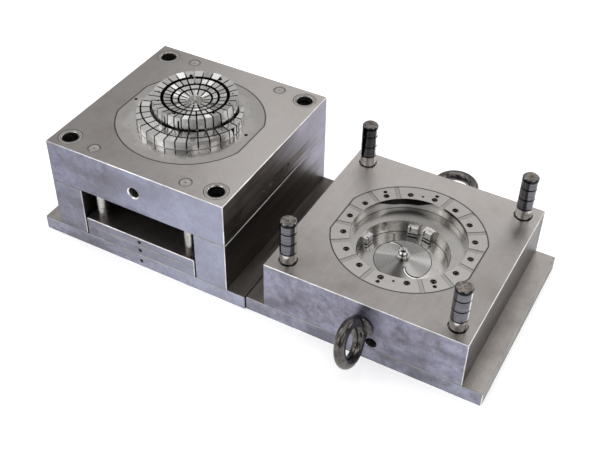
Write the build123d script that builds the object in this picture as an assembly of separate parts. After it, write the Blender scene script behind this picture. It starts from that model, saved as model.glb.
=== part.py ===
from build123d import *
import math
import os

# Injection mould, opened and stood side by side: the core half on the left (-X) and the cavity half on the
# right.
# Millimetres, +Z up. The origin is on the floor under the middle of the two halves.
# Each half is modelled about its own vertical centre line, and moved to its place at the end.

# Mould base
PLATE_SIDE = 250.0
CLAMP_WIDTH = 300.0
CLAMP_THICKNESS = 20.0
SPACER_WIDTH = 43.0
SPACER_HEIGHT = 70.0
CORE_PLATE_THICKNESS = 60.0
CAVITY_PLATE_THICKNESS = 65.0
EDGE_BREAK = 0.8
HALVES_GAP = 0.4
CORE_HALF_SHIFT = 2.0

# Ejector plates
EJECTOR_THICKNESS = 15.0
RETAINER_THICKNESS = 12.0
EJECTOR_SIDE_GAP = 2.0
EJECTOR_STROKE = 40.0

# Running and seating clearances, all radial or per side
RUNNING_GAP = 0.04
SEAT_GAP = 0.02
SCREW_GAP = 0.5
THREAD_GAP = 0.02

# Guide pins and bushes
GUIDE_RADIUS = 10.0
GUIDE_SEAT_RADIUS = 10.02
GUIDE_PITCH = 104.0
GUIDE_HEIGHT = 60.0
GUIDE_BEVEL = 1.5
PIN_END_BREAK = 0.35
GUIDE_HEAD_RADIUS = 12.5
GUIDE_HEAD_HEIGHT = 6.0
GUIDE_RELIEF_RADIUS = 11.6
GUIDE_RELIEF_DEPTH = 4.0
OIL_GROOVE_PITCH = 15.1
OIL_GROOVE_WIDTH = 1.0
OIL_GROOVE_DEPTH = 0.7
OIL_GROOVES = 3
BUSH_RADIUS = 14.5
BUSH_HEAD_RADIUS = 17.5
BUSH_HEAD_HEIGHT = 6.0
PIN_RUN_OUT = 12.0

# Return pins
RETURN_RADIUS = 7.5
RETURN_X = 65.0
RETURN_Y = 108.0
RETURN_HEAD_RADIUS = 10.0
RETURN_HEAD_HEIGHT = 6.0
CENTRE_DOT_RADIUS = 1.0
CENTRE_DOT_DEPTH = 1.2

# Round inserts with two flats, one in each half
INSERT_RADIUS = 92.5
INSERT_HALF_WIDTH = 87.5
CORE_INSERT_DEPTH = 35.0
CAVITY_INSERT_DEPTH = 45.0
INSERT_EDGE_BREAK = 0.4
FLAT_DEPTH = 5.0

# The moulded part: an off-centre stepped cover with ribs
ECCENTRICITY = 13.0
WALL = 2.0
LOWER_TIER_RADIUS = 66.5
LOWER_TIER_HEIGHT = 11.5
LOWER_TIER_DRAFT = 0.6
LOWER_TIER_CREASE = 4.7
UPPER_TIER_RADIUS = 54.0
UPPER_TIER_HEIGHT = 27.5
UPPER_TIER_DRAFT = 1.2
UPPER_TIER_CREASE = 9.0
DISH_SLOPE = 0.19

# Ribs of the moulded part, cut into the core as slots and ring grooves
RIBS = 30
RIB_PHASE = -108.2
RIB_SPREAD_SHIFT = 9.0
RIB_WIDTH = 1.8
RIB_ROOT_HEIGHT = 1.2
MOAT_WIDTH = 2.8
OUTER_RING_RADIUS = 68.0
OUTER_RING_WIDTH = 2.0
TOP_RING_RADII = (40.8, 29.1, 20.7)
TOP_RING_WIDTHS = (3.2, 2.7, 2.3)
TOP_RING_DEPTH = 9.0
INNER_RIB_DEPTH = 6.0
PIT_RADIUS = 9.5
PIT_FLOOR_RADIUS = 8.0
PIT_FLOOR_HEIGHT = 8.0
CORE_PIN_RADIUS = 3.0
CORE_PIN_NOSE = 3.0
CORE_PIN_HEAD_RADIUS = 5.0
CORE_PIN_HEAD_HEIGHT = 5.0
PLUG_RADIUS = 46.0
PLUG_DEPTH = 25.0
CLIP_ANGLES = (-79.0, -100.0, -170.0)
CLIP_SLOT_WIDTH = 2.6
CLIP_SLOT_HEIGHT = 11.0
CLIP_SLOT_DEPTH = 4.0

# Ejector pins in the upper tier: (radius of the pin, distance from the tier's axis, angle)
EJECTOR_PINS = (
    (2.2, 44.6, -91.0),
    (2.2, 44.6, -26.5),
    (2.2, 46.0, 80.0),
    (2.2, 44.6, 130.0),
    (1.3, 46.0, -160.0),
    (1.3, 46.0, -135.0),
    (1.3, 46.0, 34.0),
    (1.3, 46.0, 8.0),
)
EJECTOR_PIN_HEAD_EXTRA = 2.0
EJECTOR_PIN_HEAD_HEIGHT = 4.0
EJECTOR_PIN_RECESS = 2.5

# Blind holes in the flange round the core: (radius, depth, place from the insert's middle)
FLANGE_HOLES = (
    (2.3, 6.0, (-82.7, 0.2)),
    (2.3, 6.0, (77.7, 4.0)),
    (0.8, 3.0, (-56.0, -50.0)),
)

# Cavity
CAVITY_RADIUS = 70.0
WALL_RING_DEPTHS = (2.2, 4.0)
WALL_RING_SIZE = 0.5
CAVITY_DRAFT = 0.7
LOWER_CAVITY_DRAFT = 2.0
FLOOR_SLOPE = 0.16
FLOOR_DISC_RADIUS = 34.7
FLOOR_DISC_SCREW_REACH = 22.0
RUNNER_RADIUS = 2.0
RUNNER_START = (7.8, -13.1)
RUNNER_MIDDLE = (19.0, -22.0)
RUNNER_END = (30.5, -17.8)
CLIP_BLOCK_WIDTH = 12.5
CLIP_BLOCK_THICKNESS = 6.0
CLIP_BLOCK_SEAT = 4.0
CLIP_BLOCK_CLEAR = 1.0
CLIP_BLOCK_FOOT = 2.2
CLIP_BLOCK_DROP = 3.5
CLIP_GROOVE_WIDTH = 1.5
CLIP_GROOVE_DEPTH = 3.0
WALL_PIN_RADIUS = 1.4
WALL_PIN_ANGLE = 129.0
WALL_PIN_HEIGHT = 11.0

# Sprue bush, coaxial with the upper tier, and the locating ring that holds it
NOSE_RADIUS = 6.5
NOSE_HEIGHT = 11.0
NOSE_BEVEL = 1.6
NOSE_COLLAR_RADIUS = 8.0
NOSE_COLLAR_HEIGHT = 5.0
SPRUE_TOP_RADIUS = 2.6
SPRUE_LOW_RADIUS = 1.8
SPRUE_FLANGE_RADIUS = 22.0
SPRUE_SEAT_RADIUS = 15.5
LOCATING_RADIUS = 50.0
LOCATING_BORE = 15.0
LOCATING_THICKNESS = 12.0
LOCATING_SCREW_REACH = 38.0

# Rim of the cavity insert
RIM_SCREWS = 16
RIM_SCREW_SHARE = 0.325
RIM_SCREW_SINK = 1.2
RIM_WIDTH_FOR_M4 = 22.5
DOWEL_SHARE = 2 / 3
DOWEL_SLIMNESS = 9.0
DOWEL_ANGLES = (90.0, 134.0, 270.0, 314.0)
DOWEL_SINK = 2.0
VENT_WIDTH = 5.0
VENT_DEPTH = 0.4
AIR_HOLE_RADIUS = 1.6
AIR_HOLE_DEPTH = 6.0
AIR_HOLE_INDEX = (4, 12)

# Cap screws: nominal radius, head radius, head height
M4 = (2.0, 3.3, 4.0)
M6 = (3.0, 5.0, 6.0)
M10 = (5.0, 8.0, 10.0)
M12 = (6.0, 9.0, 12.0)
HEAD_SINK = 1.0
HEAD_GAP = 0.5
SOCKET_SHARE = 0.48
SCREW_GRIP = 2.0
BASE_SCREW_X = 103.5
BASE_SCREW_Y = 60.0
INSERT_SCREW_REACH = 55.0
EJECTOR_SCREW_X = 75.0
EJECTOR_SCREW_Y = 119.0

# Eye bolts, M16 pattern
EYE_TUBE_RADIUS = 6.8
EYE_RING_RADIUS = 23.0
EYE_CENTRE_REACH = 30.0
EYE_COLLAR_RADIUS = 15.0
EYE_COLLAR_HEIGHT = 4.5
EYE_NECK_RADIUS = 10.0
EYE_SHANK_RADIUS = 8.0
EYE_SHANK_LENGTH = 24.0
EYE_HEIGHT = 51.5
FRONT_EYE_X = 1.8
FRONT_EYE_TURN = 12.0
REAR_EYE_X = 0.0
REAR_EYE_TURN = 90.0
LIFT_HOLE_RADIUS = 7.0
LIFT_HOLE_DEPTH = 28.0
LIFT_HOLE_HEIGHT = 119.0
LIFT_HOLE_CHAMFER = 1.5

# Other holes in the plates
KNOCK_OUT_RADIUS = 20.0
PORT_RADIUS = 3.0
PORT_DEPTH = 22.0
PORTS = 5
PORT_PITCH = 15.0
PORT_FIRST_Y = -35.0
PORT_HEIGHT = 109.0
WATER_HOLE_RADIUS = 7.0
WATER_HOLE_DEPTH = 24.0
WATER_HOLE_X = 14.7
WATER_HOLE_HEIGHT = 29.7
CAVITY_PORTS = ((14.0, 30.0), (10.0, 27.0), (-5.0, 28.5))
CAVITY_PORT_RADIUS = 1.6
CAVITY_PORT_DEPTH = 10.0
TAG_HOLE_RADIUS = 2.6
TAG_HOLE_DEPTH = 12.0

# Heights that follow from the sizes above
BEYOND = 1.0
SPACER_TOP = CLAMP_THICKNESS + SPACER_HEIGHT
CORE_FACE = SPACER_TOP + CORE_PLATE_THICKNESS
CAVITY_FACE = CLAMP_THICKNESS + CAVITY_PLATE_THICKNESS
EJECTOR_TOP = CLAMP_THICKNESS + EJECTOR_THICKNESS
RETAINER_TOP = EJECTOR_TOP + RETAINER_THICKNESS
EJECTOR_WIDTH = PLATE_SIDE - 2 * SPACER_WIDTH - 2 * EJECTOR_SIDE_GAP
CORE_POCKET = CORE_FACE - CORE_INSERT_DEPTH
CAVITY_POCKET = CAVITY_FACE - CAVITY_INSERT_DEPTH
LOWER_TIER_TOP = CORE_FACE + LOWER_TIER_HEIGHT
UPPER_TIER_TOP = CORE_FACE + UPPER_TIER_HEIGHT
PLUG_BASE = CORE_FACE - PLUG_DEPTH
SHELF = CAVITY_FACE - LOWER_TIER_HEIGHT - WALL
FLOOR_EDGE = CAVITY_FACE - UPPER_TIER_HEIGHT - WALL
UPPER_CAVITY_RADIUS = UPPER_TIER_RADIUS + WALL
FLOOR_RADIUS = UPPER_CAVITY_RADIUS - LOWER_CAVITY_DRAFT
NOSE_BASE = FLOOR_EDGE + FLOOR_SLOPE * (FLOOR_RADIUS - NOSE_COLLAR_RADIUS)
NOSE_TOP = NOSE_BASE + NOSE_HEIGHT
RIM_WIDTH = min(INSERT_RADIUS, INSERT_HALF_WIDTH + FLAT_DEPTH) - CAVITY_RADIUS
RIM_SCREW = tuple(size * RIM_WIDTH / RIM_WIDTH_FOR_M4 for size in M4)
RIM_SCREW_REACH = CAVITY_RADIUS + RIM_SCREW_SHARE * RIM_WIDTH
DOWEL_REACH = CAVITY_RADIUS + DOWEL_SHARE * RIM_WIDTH
DOWEL_RADIUS = RIM_WIDTH / DOWEL_SLIMNESS

CORNERS = [(-1, -1), (1, -1), (-1, 1), (1, 1)]
CORNER_NAMES = ["front_left", "front_right", "rear_left", "rear_right"]
UPPER_CENTRE = (0.0, ECCENTRICITY)
CAVITY_CENTRE = (0.0, -ECCENTRICITY)


def block(width, depth, low, high, at=(0.0, 0.0)):
    """A rectangular block centred on a point of the plan, from one height to another."""
    return Pos(at[0], at[1], (low + high) / 2) * Box(width, depth, high - low)


def rod(radius, low, high, at=(0.0, 0.0)):
    """An upright round bar, also used as the cutter of an upright hole."""
    return Pos(at[0], at[1], (low + high) / 2) * Cylinder(radius, high - low)


def taper(low_radius, high_radius, low, high, at=(0.0, 0.0)):
    """An upright frustum between two heights."""
    return Pos(at[0], at[1], (low + high) / 2) * Cone(low_radius, high_radius, high - low)


def side_rod(radius, start, length, direction):
    """A level round bar from a point outwards along a direction."""
    plane = Plane(origin=start, z_dir=direction)
    return plane * Pos(0, 0, length / 2) * Cylinder(radius, length)


def polar(radius, angle, centre=(0.0, 0.0)):
    """A point of the plan at a distance and an angle in degrees from a centre."""
    turn = math.radians(angle)
    return (centre[0] + radius * math.cos(turn), centre[1] + radius * math.sin(turn))


def corner_points(x, y):
    """The four points at plus and minus x and y, in the order of CORNERS."""
    return [(sx * x, sy * y) for sx, sy in CORNERS]


def plate(width, depth, low, high):
    """A ground plate with all its edges broken."""
    body = block(width, depth, low, high)
    return chamfer(body.edges(), EDGE_BREAK)


def insert_outline(low, high, gap=0.0):
    """A disc with two flats parallel to Y, the form of both inserts and their pockets."""
    disc = rod(INSERT_RADIUS + gap, low, high)
    return disc & block(2 * (INSERT_HALF_WIDTH + gap), 3 * INSERT_RADIUS, low, high)


def broken_top(body, size):
    """A body with the edges of its top face broken."""
    return chamfer(body.edges().group_by(Axis.Z)[-1], size)


def ring(middle_radius, width, low, high, at=(0.0, 0.0)):
    """An upright tube of a given wall width, centred on its middle radius."""
    return rod(middle_radius + width / 2, low, high, at) - rod(middle_radius - width / 2, low, high, at)


def cap_screw(size, seat, tip, at, up=True):
    """A socket head cap screw. seat is the height under its head; up says that the tip is above the head."""
    radius, head_radius, head_height = size
    side = 1 if up else -1
    head_end = seat - side * head_height
    head = rod(head_radius, min(seat, head_end), max(seat, head_end), at)
    shank = rod(radius, min(seat, tip), max(seat, tip), at)
    socket_depth = head_height / 2
    socket = RegularPolygon(head_radius * SOCKET_SHARE, 6)
    base = head_end if up else head_end - socket_depth
    return head + shank - Pos(at[0], at[1], base) * extrude(socket, socket_depth)


def screw_pocket(size, mouth, seat, at):
    """The counterbore of a cap screw, from the face at mouth to the seat under the head."""
    radius = size[1] + HEAD_GAP
    return rod(radius, min(mouth, seat), max(mouth, seat), at)


def screw_way(size, low, high, at):
    """The clearance hole of a screw's shank."""
    return rod(size[0] + SCREW_GAP, low, high, at)


def thread_hole(size, low, high, at):
    """The hole that a screw's thread bites in, modelled at the thread's outer size."""
    return rod(size[0] + THREAD_GAP, low, high, at)


def head_seat(face, size, up=True):
    """The height under a sunk screw head whose pocket opens at a face."""
    reach = size[2] + HEAD_SINK
    return face + reach if up else face - reach


BASE_SCREWS = corner_points(BASE_SCREW_X, BASE_SCREW_Y)
BASE_SEAT = head_seat(0.0, M12)
CORE_BASE_TIP = SPACER_TOP + 2 * SCREW_GRIP * M12[0]
CAVITY_BASE_TIP = CLAMP_THICKNESS + 2 * SCREW_GRIP * M12[0]
GUIDES = corner_points(GUIDE_PITCH, GUIDE_PITCH)
RETURNS = corner_points(RETURN_X, RETURN_Y)
INSERT_SCREWS = corner_points(INSERT_SCREW_REACH, INSERT_SCREW_REACH)
INSERT_SEAT = head_seat(SPACER_TOP, M10)
INSERT_TIP = CORE_POCKET + SCREW_GRIP * M10[0] * 2
EJECTOR_SCREWS = corner_points(EJECTOR_SCREW_X, EJECTOR_SCREW_Y)
EJECTOR_SEAT = head_seat(CLAMP_THICKNESS, M6)


def front_tag_hole(height, side=-1):
    """A small tapped hole in the middle of a plate's front edge."""
    start = (0, side * (PLATE_SIDE / 2 - TAG_HOLE_DEPTH), height)
    return side_rod(TAG_HOLE_RADIUS, start, TAG_HOLE_DEPTH + BEYOND, (0, side, 0))


def moving_clamp_plate():
    """The wide bottom plate of the core half, with the knock-out hole and four screw pockets."""
    body = plate(CLAMP_WIDTH, PLATE_SIDE, 0, CLAMP_THICKNESS)
    cuts = [rod(KNOCK_OUT_RADIUS, -BEYOND, CLAMP_THICKNESS + BEYOND), front_tag_hole(CLAMP_THICKNESS / 2)]
    for at in BASE_SCREWS:
        cuts.append(screw_pocket(M12, -BEYOND, BASE_SEAT, at))
        cuts.append(screw_way(M12, BASE_SEAT - BEYOND, CLAMP_THICKNESS + BEYOND, at))
    return body - cuts


def spacer_block(side):
    """One of the two rails that hold the core plate above the clamp plate."""
    middle = side * (PLATE_SIDE - SPACER_WIDTH) / 2
    body = Pos(middle, 0, 0) * plate(SPACER_WIDTH, PLATE_SIDE, CLAMP_THICKNESS, SPACER_TOP)
    cuts = []
    for at in BASE_SCREWS:
        cuts.append(screw_way(M12, CLAMP_THICKNESS - BEYOND, SPACER_TOP + BEYOND, at))
    for at in GUIDES:
        cuts.append(rod(GUIDE_RADIUS + 2 * BEYOND, SPACER_TOP - PIN_RUN_OUT, SPACER_TOP + BEYOND, at))
    return body - cuts


def lift_hole(face_y, height):
    """A tapped hole for an eye bolt in a front or rear face, with a countersunk mouth."""
    side = 1 if face_y > 0 else -1
    start = (0, face_y - side * LIFT_HOLE_DEPTH, height)
    drill = side_rod(LIFT_HOLE_RADIUS, start, LIFT_HOLE_DEPTH + BEYOND, (0, side, 0))
    mouth = Plane(origin=(0, face_y, height), z_dir=(0, side, 0))
    sink = mouth * Pos(0, 0, -LIFT_HOLE_CHAMFER / 2) * Cone(
        LIFT_HOLE_RADIUS, LIFT_HOLE_RADIUS + LIFT_HOLE_CHAMFER, LIFT_HOLE_CHAMFER)
    return [drill, sink]


def side_ports():
    """The row of cooling ports in the right-hand face of the core plate."""
    face = PLATE_SIDE / 2
    ports = []
    for index in range(PORTS):
        start = (face - PORT_DEPTH, PORT_FIRST_Y + index * PORT_PITCH, PORT_HEIGHT)
        ports.append(side_rod(PORT_RADIUS, start, PORT_DEPTH + BEYOND, (1, 0, 0)))
    return ports


def ejector_pin_places():
    """Each ejector pin's radius and its place in the plan of the core half."""
    return [(radius, polar(reach, angle, UPPER_CENTRE)) for radius, reach, angle in EJECTOR_PINS]


def core_plate():
    """The thick plate that carries the core insert, the guide bushes and the return pins."""
    body = plate(PLATE_SIDE, PLATE_SIDE, SPACER_TOP, CORE_FACE)
    cuts = [insert_outline(CORE_POCKET, CORE_FACE + BEYOND, SEAT_GAP)]
    for at in GUIDES:
        cuts.append(rod(BUSH_RADIUS + SEAT_GAP, SPACER_TOP - BEYOND, CORE_FACE + BEYOND, at))
        cuts.append(rod(BUSH_HEAD_RADIUS + SCREW_GAP, SPACER_TOP - BEYOND, SPACER_TOP + BUSH_HEAD_HEIGHT, at))
    for at in RETURNS:
        cuts.append(rod(RETURN_RADIUS + RUNNING_GAP, SPACER_TOP - BEYOND, CORE_FACE + BEYOND, at))
    for at in BASE_SCREWS:
        cuts.append(thread_hole(M12, SPACER_TOP - BEYOND, CORE_BASE_TIP + BEYOND, at))
    for at in INSERT_SCREWS:
        cuts.append(screw_pocket(M10, SPACER_TOP - BEYOND, INSERT_SEAT, at))
        cuts.append(screw_way(M10, INSERT_SEAT - BEYOND, CORE_POCKET + BEYOND, at))
    for radius, at in ejector_pin_places():
        cuts.append(rod(radius + SCREW_GAP, SPACER_TOP - BEYOND, CORE_POCKET + BEYOND, at))
    cuts += lift_hole(-PLATE_SIDE / 2, LIFT_HOLE_HEIGHT) + lift_hole(PLATE_SIDE / 2, LIFT_HOLE_HEIGHT)
    return body - cuts - side_ports()


def rib_angles():
    """Angles of the ribs about the upper tier's axis.

    The ribs are evenly spaced as seen from a point between the two tiers' axes, and each points at the
    upper tier's axis, so they open out towards the side where the lower tier is wide.
    """
    angles = []
    shift = RIB_SPREAD_SHIFT
    for index in range(RIBS):
        turn = math.radians(RIB_PHASE + index * 360.0 / RIBS)
        along = shift * math.sin(turn)
        reach = along + math.sqrt(along ** 2 + UPPER_TIER_RADIUS ** 2 - shift ** 2)
        x, y = reach * math.cos(turn), reach * math.sin(turn) - shift
        angles.append(math.degrees(math.atan2(y, x)))
    return angles


def rib_cutter(angle, inner, outer, low, high):
    """A straight slot on a line through the upper tier's axis."""
    bar = Pos((inner + outer) / 2, 0, (low + high) / 2) * Box(outer - inner, RIB_WIDTH, high - low)
    return Pos(UPPER_CENTRE[0], UPPER_CENTRE[1], 0) * Rot(0, 0, angle) * bar


def lower_tier_body():
    """The round body of the lower tier, with a crease in its wall where the draft changes."""
    crease = LOWER_TIER_TOP - LOWER_TIER_CREASE
    crease_radius = LOWER_TIER_RADIUS - LOWER_TIER_DRAFT / 6
    foot = taper(LOWER_TIER_RADIUS, crease_radius, CORE_FACE, crease)
    return foot + taper(crease_radius, LOWER_TIER_RADIUS - LOWER_TIER_DRAFT, crease, LOWER_TIER_TOP)


def core_insert():
    """The round insert of the core half: its flange, and the lower tier as a ribbed crescent."""
    body = broken_top(insert_outline(CORE_POCKET, CORE_FACE), INSERT_EDGE_BREAK)
    tier = lower_tier_body()
    bottom = CORE_FACE + RIB_ROOT_HEIGHT
    moat = UPPER_TIER_RADIUS + MOAT_WIDTH
    tier -= rod(moat, CORE_FACE, LOWER_TIER_TOP + BEYOND, UPPER_CENTRE)
    tier -= ring(OUTER_RING_RADIUS, OUTER_RING_WIDTH, bottom, LOWER_TIER_TOP + BEYOND, UPPER_CENTRE)
    far = LOWER_TIER_RADIUS + 2 * ECCENTRICITY
    tier -= [rib_cutter(angle, moat - BEYOND, far, bottom, LOWER_TIER_TOP + BEYOND) for angle in rib_angles()]
    body += tier
    cuts = [rod(PLUG_RADIUS + SEAT_GAP, PLUG_BASE, CORE_FACE + BEYOND, UPPER_CENTRE)]
    cuts.append(rod(CORE_PIN_HEAD_RADIUS + HEAD_GAP, CORE_POCKET - BEYOND,
                    CORE_POCKET + CORE_PIN_HEAD_HEIGHT, UPPER_CENTRE))
    cuts.append(rod(CORE_PIN_RADIUS + SEAT_GAP, CORE_POCKET, PLUG_BASE + BEYOND, UPPER_CENTRE))
    for at in INSERT_SCREWS:
        cuts.append(thread_hole(M10, CORE_POCKET - BEYOND, INSERT_TIP + BEYOND, at))
    for radius, at in ejector_pin_places():
        cuts.append(rod(radius + RUNNING_GAP, CORE_POCKET - BEYOND, CORE_FACE + BEYOND, at))
    for radius, depth, at in FLANGE_HOLES:
        cuts.append(rod(radius, CORE_FACE - depth, CORE_FACE + BEYOND, at))
    return body - cuts


def dish_height(radius):
    """Height of the dished top of the upper tier at a distance from its axis."""
    edge = UPPER_TIER_RADIUS - UPPER_TIER_DRAFT
    return UPPER_TIER_TOP - DISH_SLOPE * (edge - radius)


def upper_core_body():
    """The turned body of the upper tier: tapered wall, dished top, centre pit and the plug below."""
    edge = UPPER_TIER_RADIUS - UPPER_TIER_DRAFT
    crease_radius = UPPER_TIER_RADIUS - UPPER_TIER_DRAFT / 4
    pit_floor = CORE_FACE + PIT_FLOOR_HEIGHT
    outline = [
        (0, PLUG_BASE), (PLUG_RADIUS, PLUG_BASE), (PLUG_RADIUS, CORE_FACE), (UPPER_TIER_RADIUS, CORE_FACE),
        (crease_radius, UPPER_TIER_TOP - UPPER_TIER_CREASE), (edge, UPPER_TIER_TOP),
        (PIT_RADIUS, dish_height(PIT_RADIUS)), (PIT_FLOOR_RADIUS, pit_floor), (0, pit_floor),
    ]
    profile = Plane.XZ * make_face(Polyline(*outline, close=True))
    return Pos(UPPER_CENTRE[0], UPPER_CENTRE[1], 0) * revolve(profile, Axis.Z)


def upper_core():
    """The off-centre upper tier, cut into blocks by the ribs and by three ring grooves."""
    body = upper_core_body()
    above = UPPER_TIER_TOP + BEYOND
    angles = rib_angles()
    middle = TOP_RING_RADII[1]
    cuts = [rib_cutter(a, middle, UPPER_TIER_RADIUS + BEYOND, LOWER_TIER_TOP, above) for a in angles]
    inner_low = dish_height(middle) - INNER_RIB_DEPTH - BEYOND
    cuts += [rib_cutter(a, PIT_RADIUS + BEYOND, middle, inner_low, above) for a in angles[::2]]
    body -= cuts
    grooves = []
    for radius, width in zip(TOP_RING_RADII, TOP_RING_WIDTHS):
        grooves.append(ring(radius, width, dish_height(radius) - TOP_RING_DEPTH, above, UPPER_CENTRE))
    body -= grooves
    holes = [rod(CORE_PIN_RADIUS + SEAT_GAP, PLUG_BASE - BEYOND, above, UPPER_CENTRE)]
    for radius, at in ejector_pin_places():
        holes.append(rod(radius + RUNNING_GAP, PLUG_BASE - BEYOND, above, at))
    for angle in CLIP_ANGLES:
        slot = Box(2 * CLIP_SLOT_DEPTH, CLIP_SLOT_WIDTH, CLIP_SLOT_HEIGHT)
        height = LOWER_TIER_TOP + BEYOND + CLIP_SLOT_HEIGHT / 2
        turn = Pos(UPPER_CENTRE[0], UPPER_CENTRE[1], height) * Rot(0, 0, angle)
        holes.append(turn * Pos(UPPER_TIER_RADIUS, 0, 0) * slot)
    return body - holes


def core_pin():
    """The centre pin of the core, with a conical nose that stands in the pit."""
    tip = CORE_FACE + PIT_FLOOR_HEIGHT + CORE_PIN_NOSE
    pin = rod(CORE_PIN_RADIUS, CORE_POCKET, tip, UPPER_CENTRE)
    pin += rod(CORE_PIN_HEAD_RADIUS, CORE_POCKET, CORE_POCKET + CORE_PIN_HEAD_HEIGHT, UPPER_CENTRE)
    return pin + taper(CORE_PIN_RADIUS, CORE_PIN_RADIUS / 3, tip, tip + CORE_PIN_NOSE, UPPER_CENTRE)


def guide_bush(at):
    """A headed guide bush, flush with the parting face, with a chamfered bore."""
    bush = broken_top(rod(BUSH_RADIUS, SPACER_TOP, CORE_FACE, at), PIN_END_BREAK)
    bush += rod(BUSH_HEAD_RADIUS, SPACER_TOP, SPACER_TOP + BUSH_HEAD_HEIGHT, at)
    bore = GUIDE_RADIUS + RUNNING_GAP
    bush -= rod(bore, SPACER_TOP - BEYOND, CORE_FACE + BEYOND, at)
    return bush - taper(bore, bore + BEYOND, CORE_FACE - BEYOND, CORE_FACE, at)


def ejector_plate():
    """The lower ejector plate, with its screw pockets from below."""
    body = plate(EJECTOR_WIDTH, PLATE_SIDE, CLAMP_THICKNESS, EJECTOR_TOP)
    cuts = [front_tag_hole((CLAMP_THICKNESS + EJECTOR_TOP) / 2)]
    for at in EJECTOR_SCREWS:
        cuts.append(screw_pocket(M6, CLAMP_THICKNESS - BEYOND, EJECTOR_SEAT, at))
        cuts.append(screw_way(M6, EJECTOR_SEAT - BEYOND, EJECTOR_TOP + BEYOND, at))
    return body - cuts


def retainer_plate():
    """The upper ejector plate, which traps the heads of the return pins and ejector pins."""
    body = plate(EJECTOR_WIDTH, PLATE_SIDE, EJECTOR_TOP, RETAINER_TOP)
    cuts = [front_tag_hole((EJECTOR_TOP + RETAINER_TOP) / 2)]
    for at in EJECTOR_SCREWS:
        cuts.append(thread_hole(M6, EJECTOR_TOP - BEYOND, RETAINER_TOP + BEYOND, at))
    for at in RETURNS:
        cuts.append(rod(RETURN_RADIUS + SEAT_GAP, EJECTOR_TOP, RETAINER_TOP + BEYOND, at))
        head_top = EJECTOR_TOP + RETURN_HEAD_HEIGHT
        cuts.append(rod(RETURN_HEAD_RADIUS + HEAD_GAP, EJECTOR_TOP - BEYOND, head_top, at))
    for radius, at in ejector_pin_places():
        head = radius + EJECTOR_PIN_HEAD_EXTRA + HEAD_GAP
        cuts.append(rod(radius + SEAT_GAP, EJECTOR_TOP, RETAINER_TOP + BEYOND, at))
        cuts.append(rod(head, EJECTOR_TOP - BEYOND, EJECTOR_TOP + EJECTOR_PIN_HEAD_HEIGHT, at))
    return body - cuts


def return_pin(at):
    """A return pin: its head under the retainer plate, its tip flush with the parting face."""
    pin = broken_top(rod(RETURN_RADIUS, EJECTOR_TOP, CORE_FACE, at), PIN_END_BREAK)
    pin += rod(RETURN_HEAD_RADIUS, EJECTOR_TOP, EJECTOR_TOP + RETURN_HEAD_HEIGHT, at)
    return pin - rod(CENTRE_DOT_RADIUS, CORE_FACE - CENTRE_DOT_DEPTH, CORE_FACE + BEYOND, at)


def ejector_pins():
    """The eight ejector pins, their tips just under the dished top of the upper tier."""
    pins = []
    for (radius, reach, angle), (_, at) in zip(EJECTOR_PINS, ejector_pin_places()):
        tip = dish_height(reach - radius) - EJECTOR_PIN_RECESS
        head = rod(radius + EJECTOR_PIN_HEAD_EXTRA, EJECTOR_TOP, EJECTOR_TOP + EJECTOR_PIN_HEAD_HEIGHT, at)
        pins.append(rod(radius, EJECTOR_TOP, tip, at) + head)
    return pins


def moving_side_screws():
    """Four long screws that hold the clamp plate, the spacer blocks and the core plate together."""
    return [cap_screw(M12, BASE_SEAT, CORE_BASE_TIP, at) for at in BASE_SCREWS]


def core_insert_screws():
    """Four screws from below that hold the core insert in its pocket."""
    return [cap_screw(M10, INSERT_SEAT, INSERT_TIP, at) for at in INSERT_SCREWS]


def ejector_plate_screws():
    """Four screws that hold the ejector plate and the retainer plate together."""
    tip = RETAINER_TOP - RETAINER_THICKNESS / 3
    return [cap_screw(M6, EJECTOR_SEAT, tip, at) for at in EJECTOR_SCREWS]


def locating_points():
    """The three screws of the locating ring, around the sprue."""
    return [polar(LOCATING_SCREW_REACH, 90 + 120 * index, CAVITY_CENTRE) for index in range(3)]


LOCATING_SEAT = head_seat(0.0, M6)
LOCATING_TIP = LOCATING_THICKNESS + (CLAMP_THICKNESS - LOCATING_THICKNESS) * 0.85


def fixed_clamp_plate():
    """The wide bottom plate of the cavity half, with the seat of the locating ring and the sprue flange."""
    body = plate(CLAMP_WIDTH, PLATE_SIDE, 0, CLAMP_THICKNESS)
    cuts = [front_tag_hole(CLAMP_THICKNESS / 2)]
    cuts.append(rod(LOCATING_RADIUS + SEAT_GAP, -BEYOND, LOCATING_THICKNESS, CAVITY_CENTRE))
    cuts.append(rod(SPRUE_FLANGE_RADIUS + SEAT_GAP, -BEYOND, CLAMP_THICKNESS + BEYOND, CAVITY_CENTRE))
    for at in BASE_SCREWS:
        cuts.append(screw_pocket(M12, -BEYOND, BASE_SEAT, at))
        cuts.append(screw_way(M12, BASE_SEAT - BEYOND, CLAMP_THICKNESS + BEYOND, at))
    for at in locating_points():
        cuts.append(thread_hole(M6, LOCATING_THICKNESS - BEYOND, CLAMP_THICKNESS + BEYOND, at))
    return body - cuts


def rim_screw_points():
    """The places of the screws around the rim of the cavity insert."""
    return [polar(RIM_SCREW_REACH, index * 360.0 / RIM_SCREWS) for index in range(RIM_SCREWS)]


def dowel_points():
    """The places of the four dowels in the rim of the cavity insert."""
    return [polar(DOWEL_REACH, angle) for angle in DOWEL_ANGLES]


def floor_screw_points():
    """The places of the three screws that hold the floor disc from below."""
    return [polar(FLOOR_DISC_SCREW_REACH, 30 + 120 * index, CAVITY_CENTRE) for index in range(3)]


RIM_SEAT = CAVITY_FACE - RIM_SCREW_SINK - RIM_SCREW[2]
RIM_TIP = CAVITY_POCKET - 2 * SCREW_GRIP * RIM_SCREW[0]
FLOOR_SCREW_TIP = CAVITY_POCKET + SCREW_GRIP * M6[0]


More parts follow.
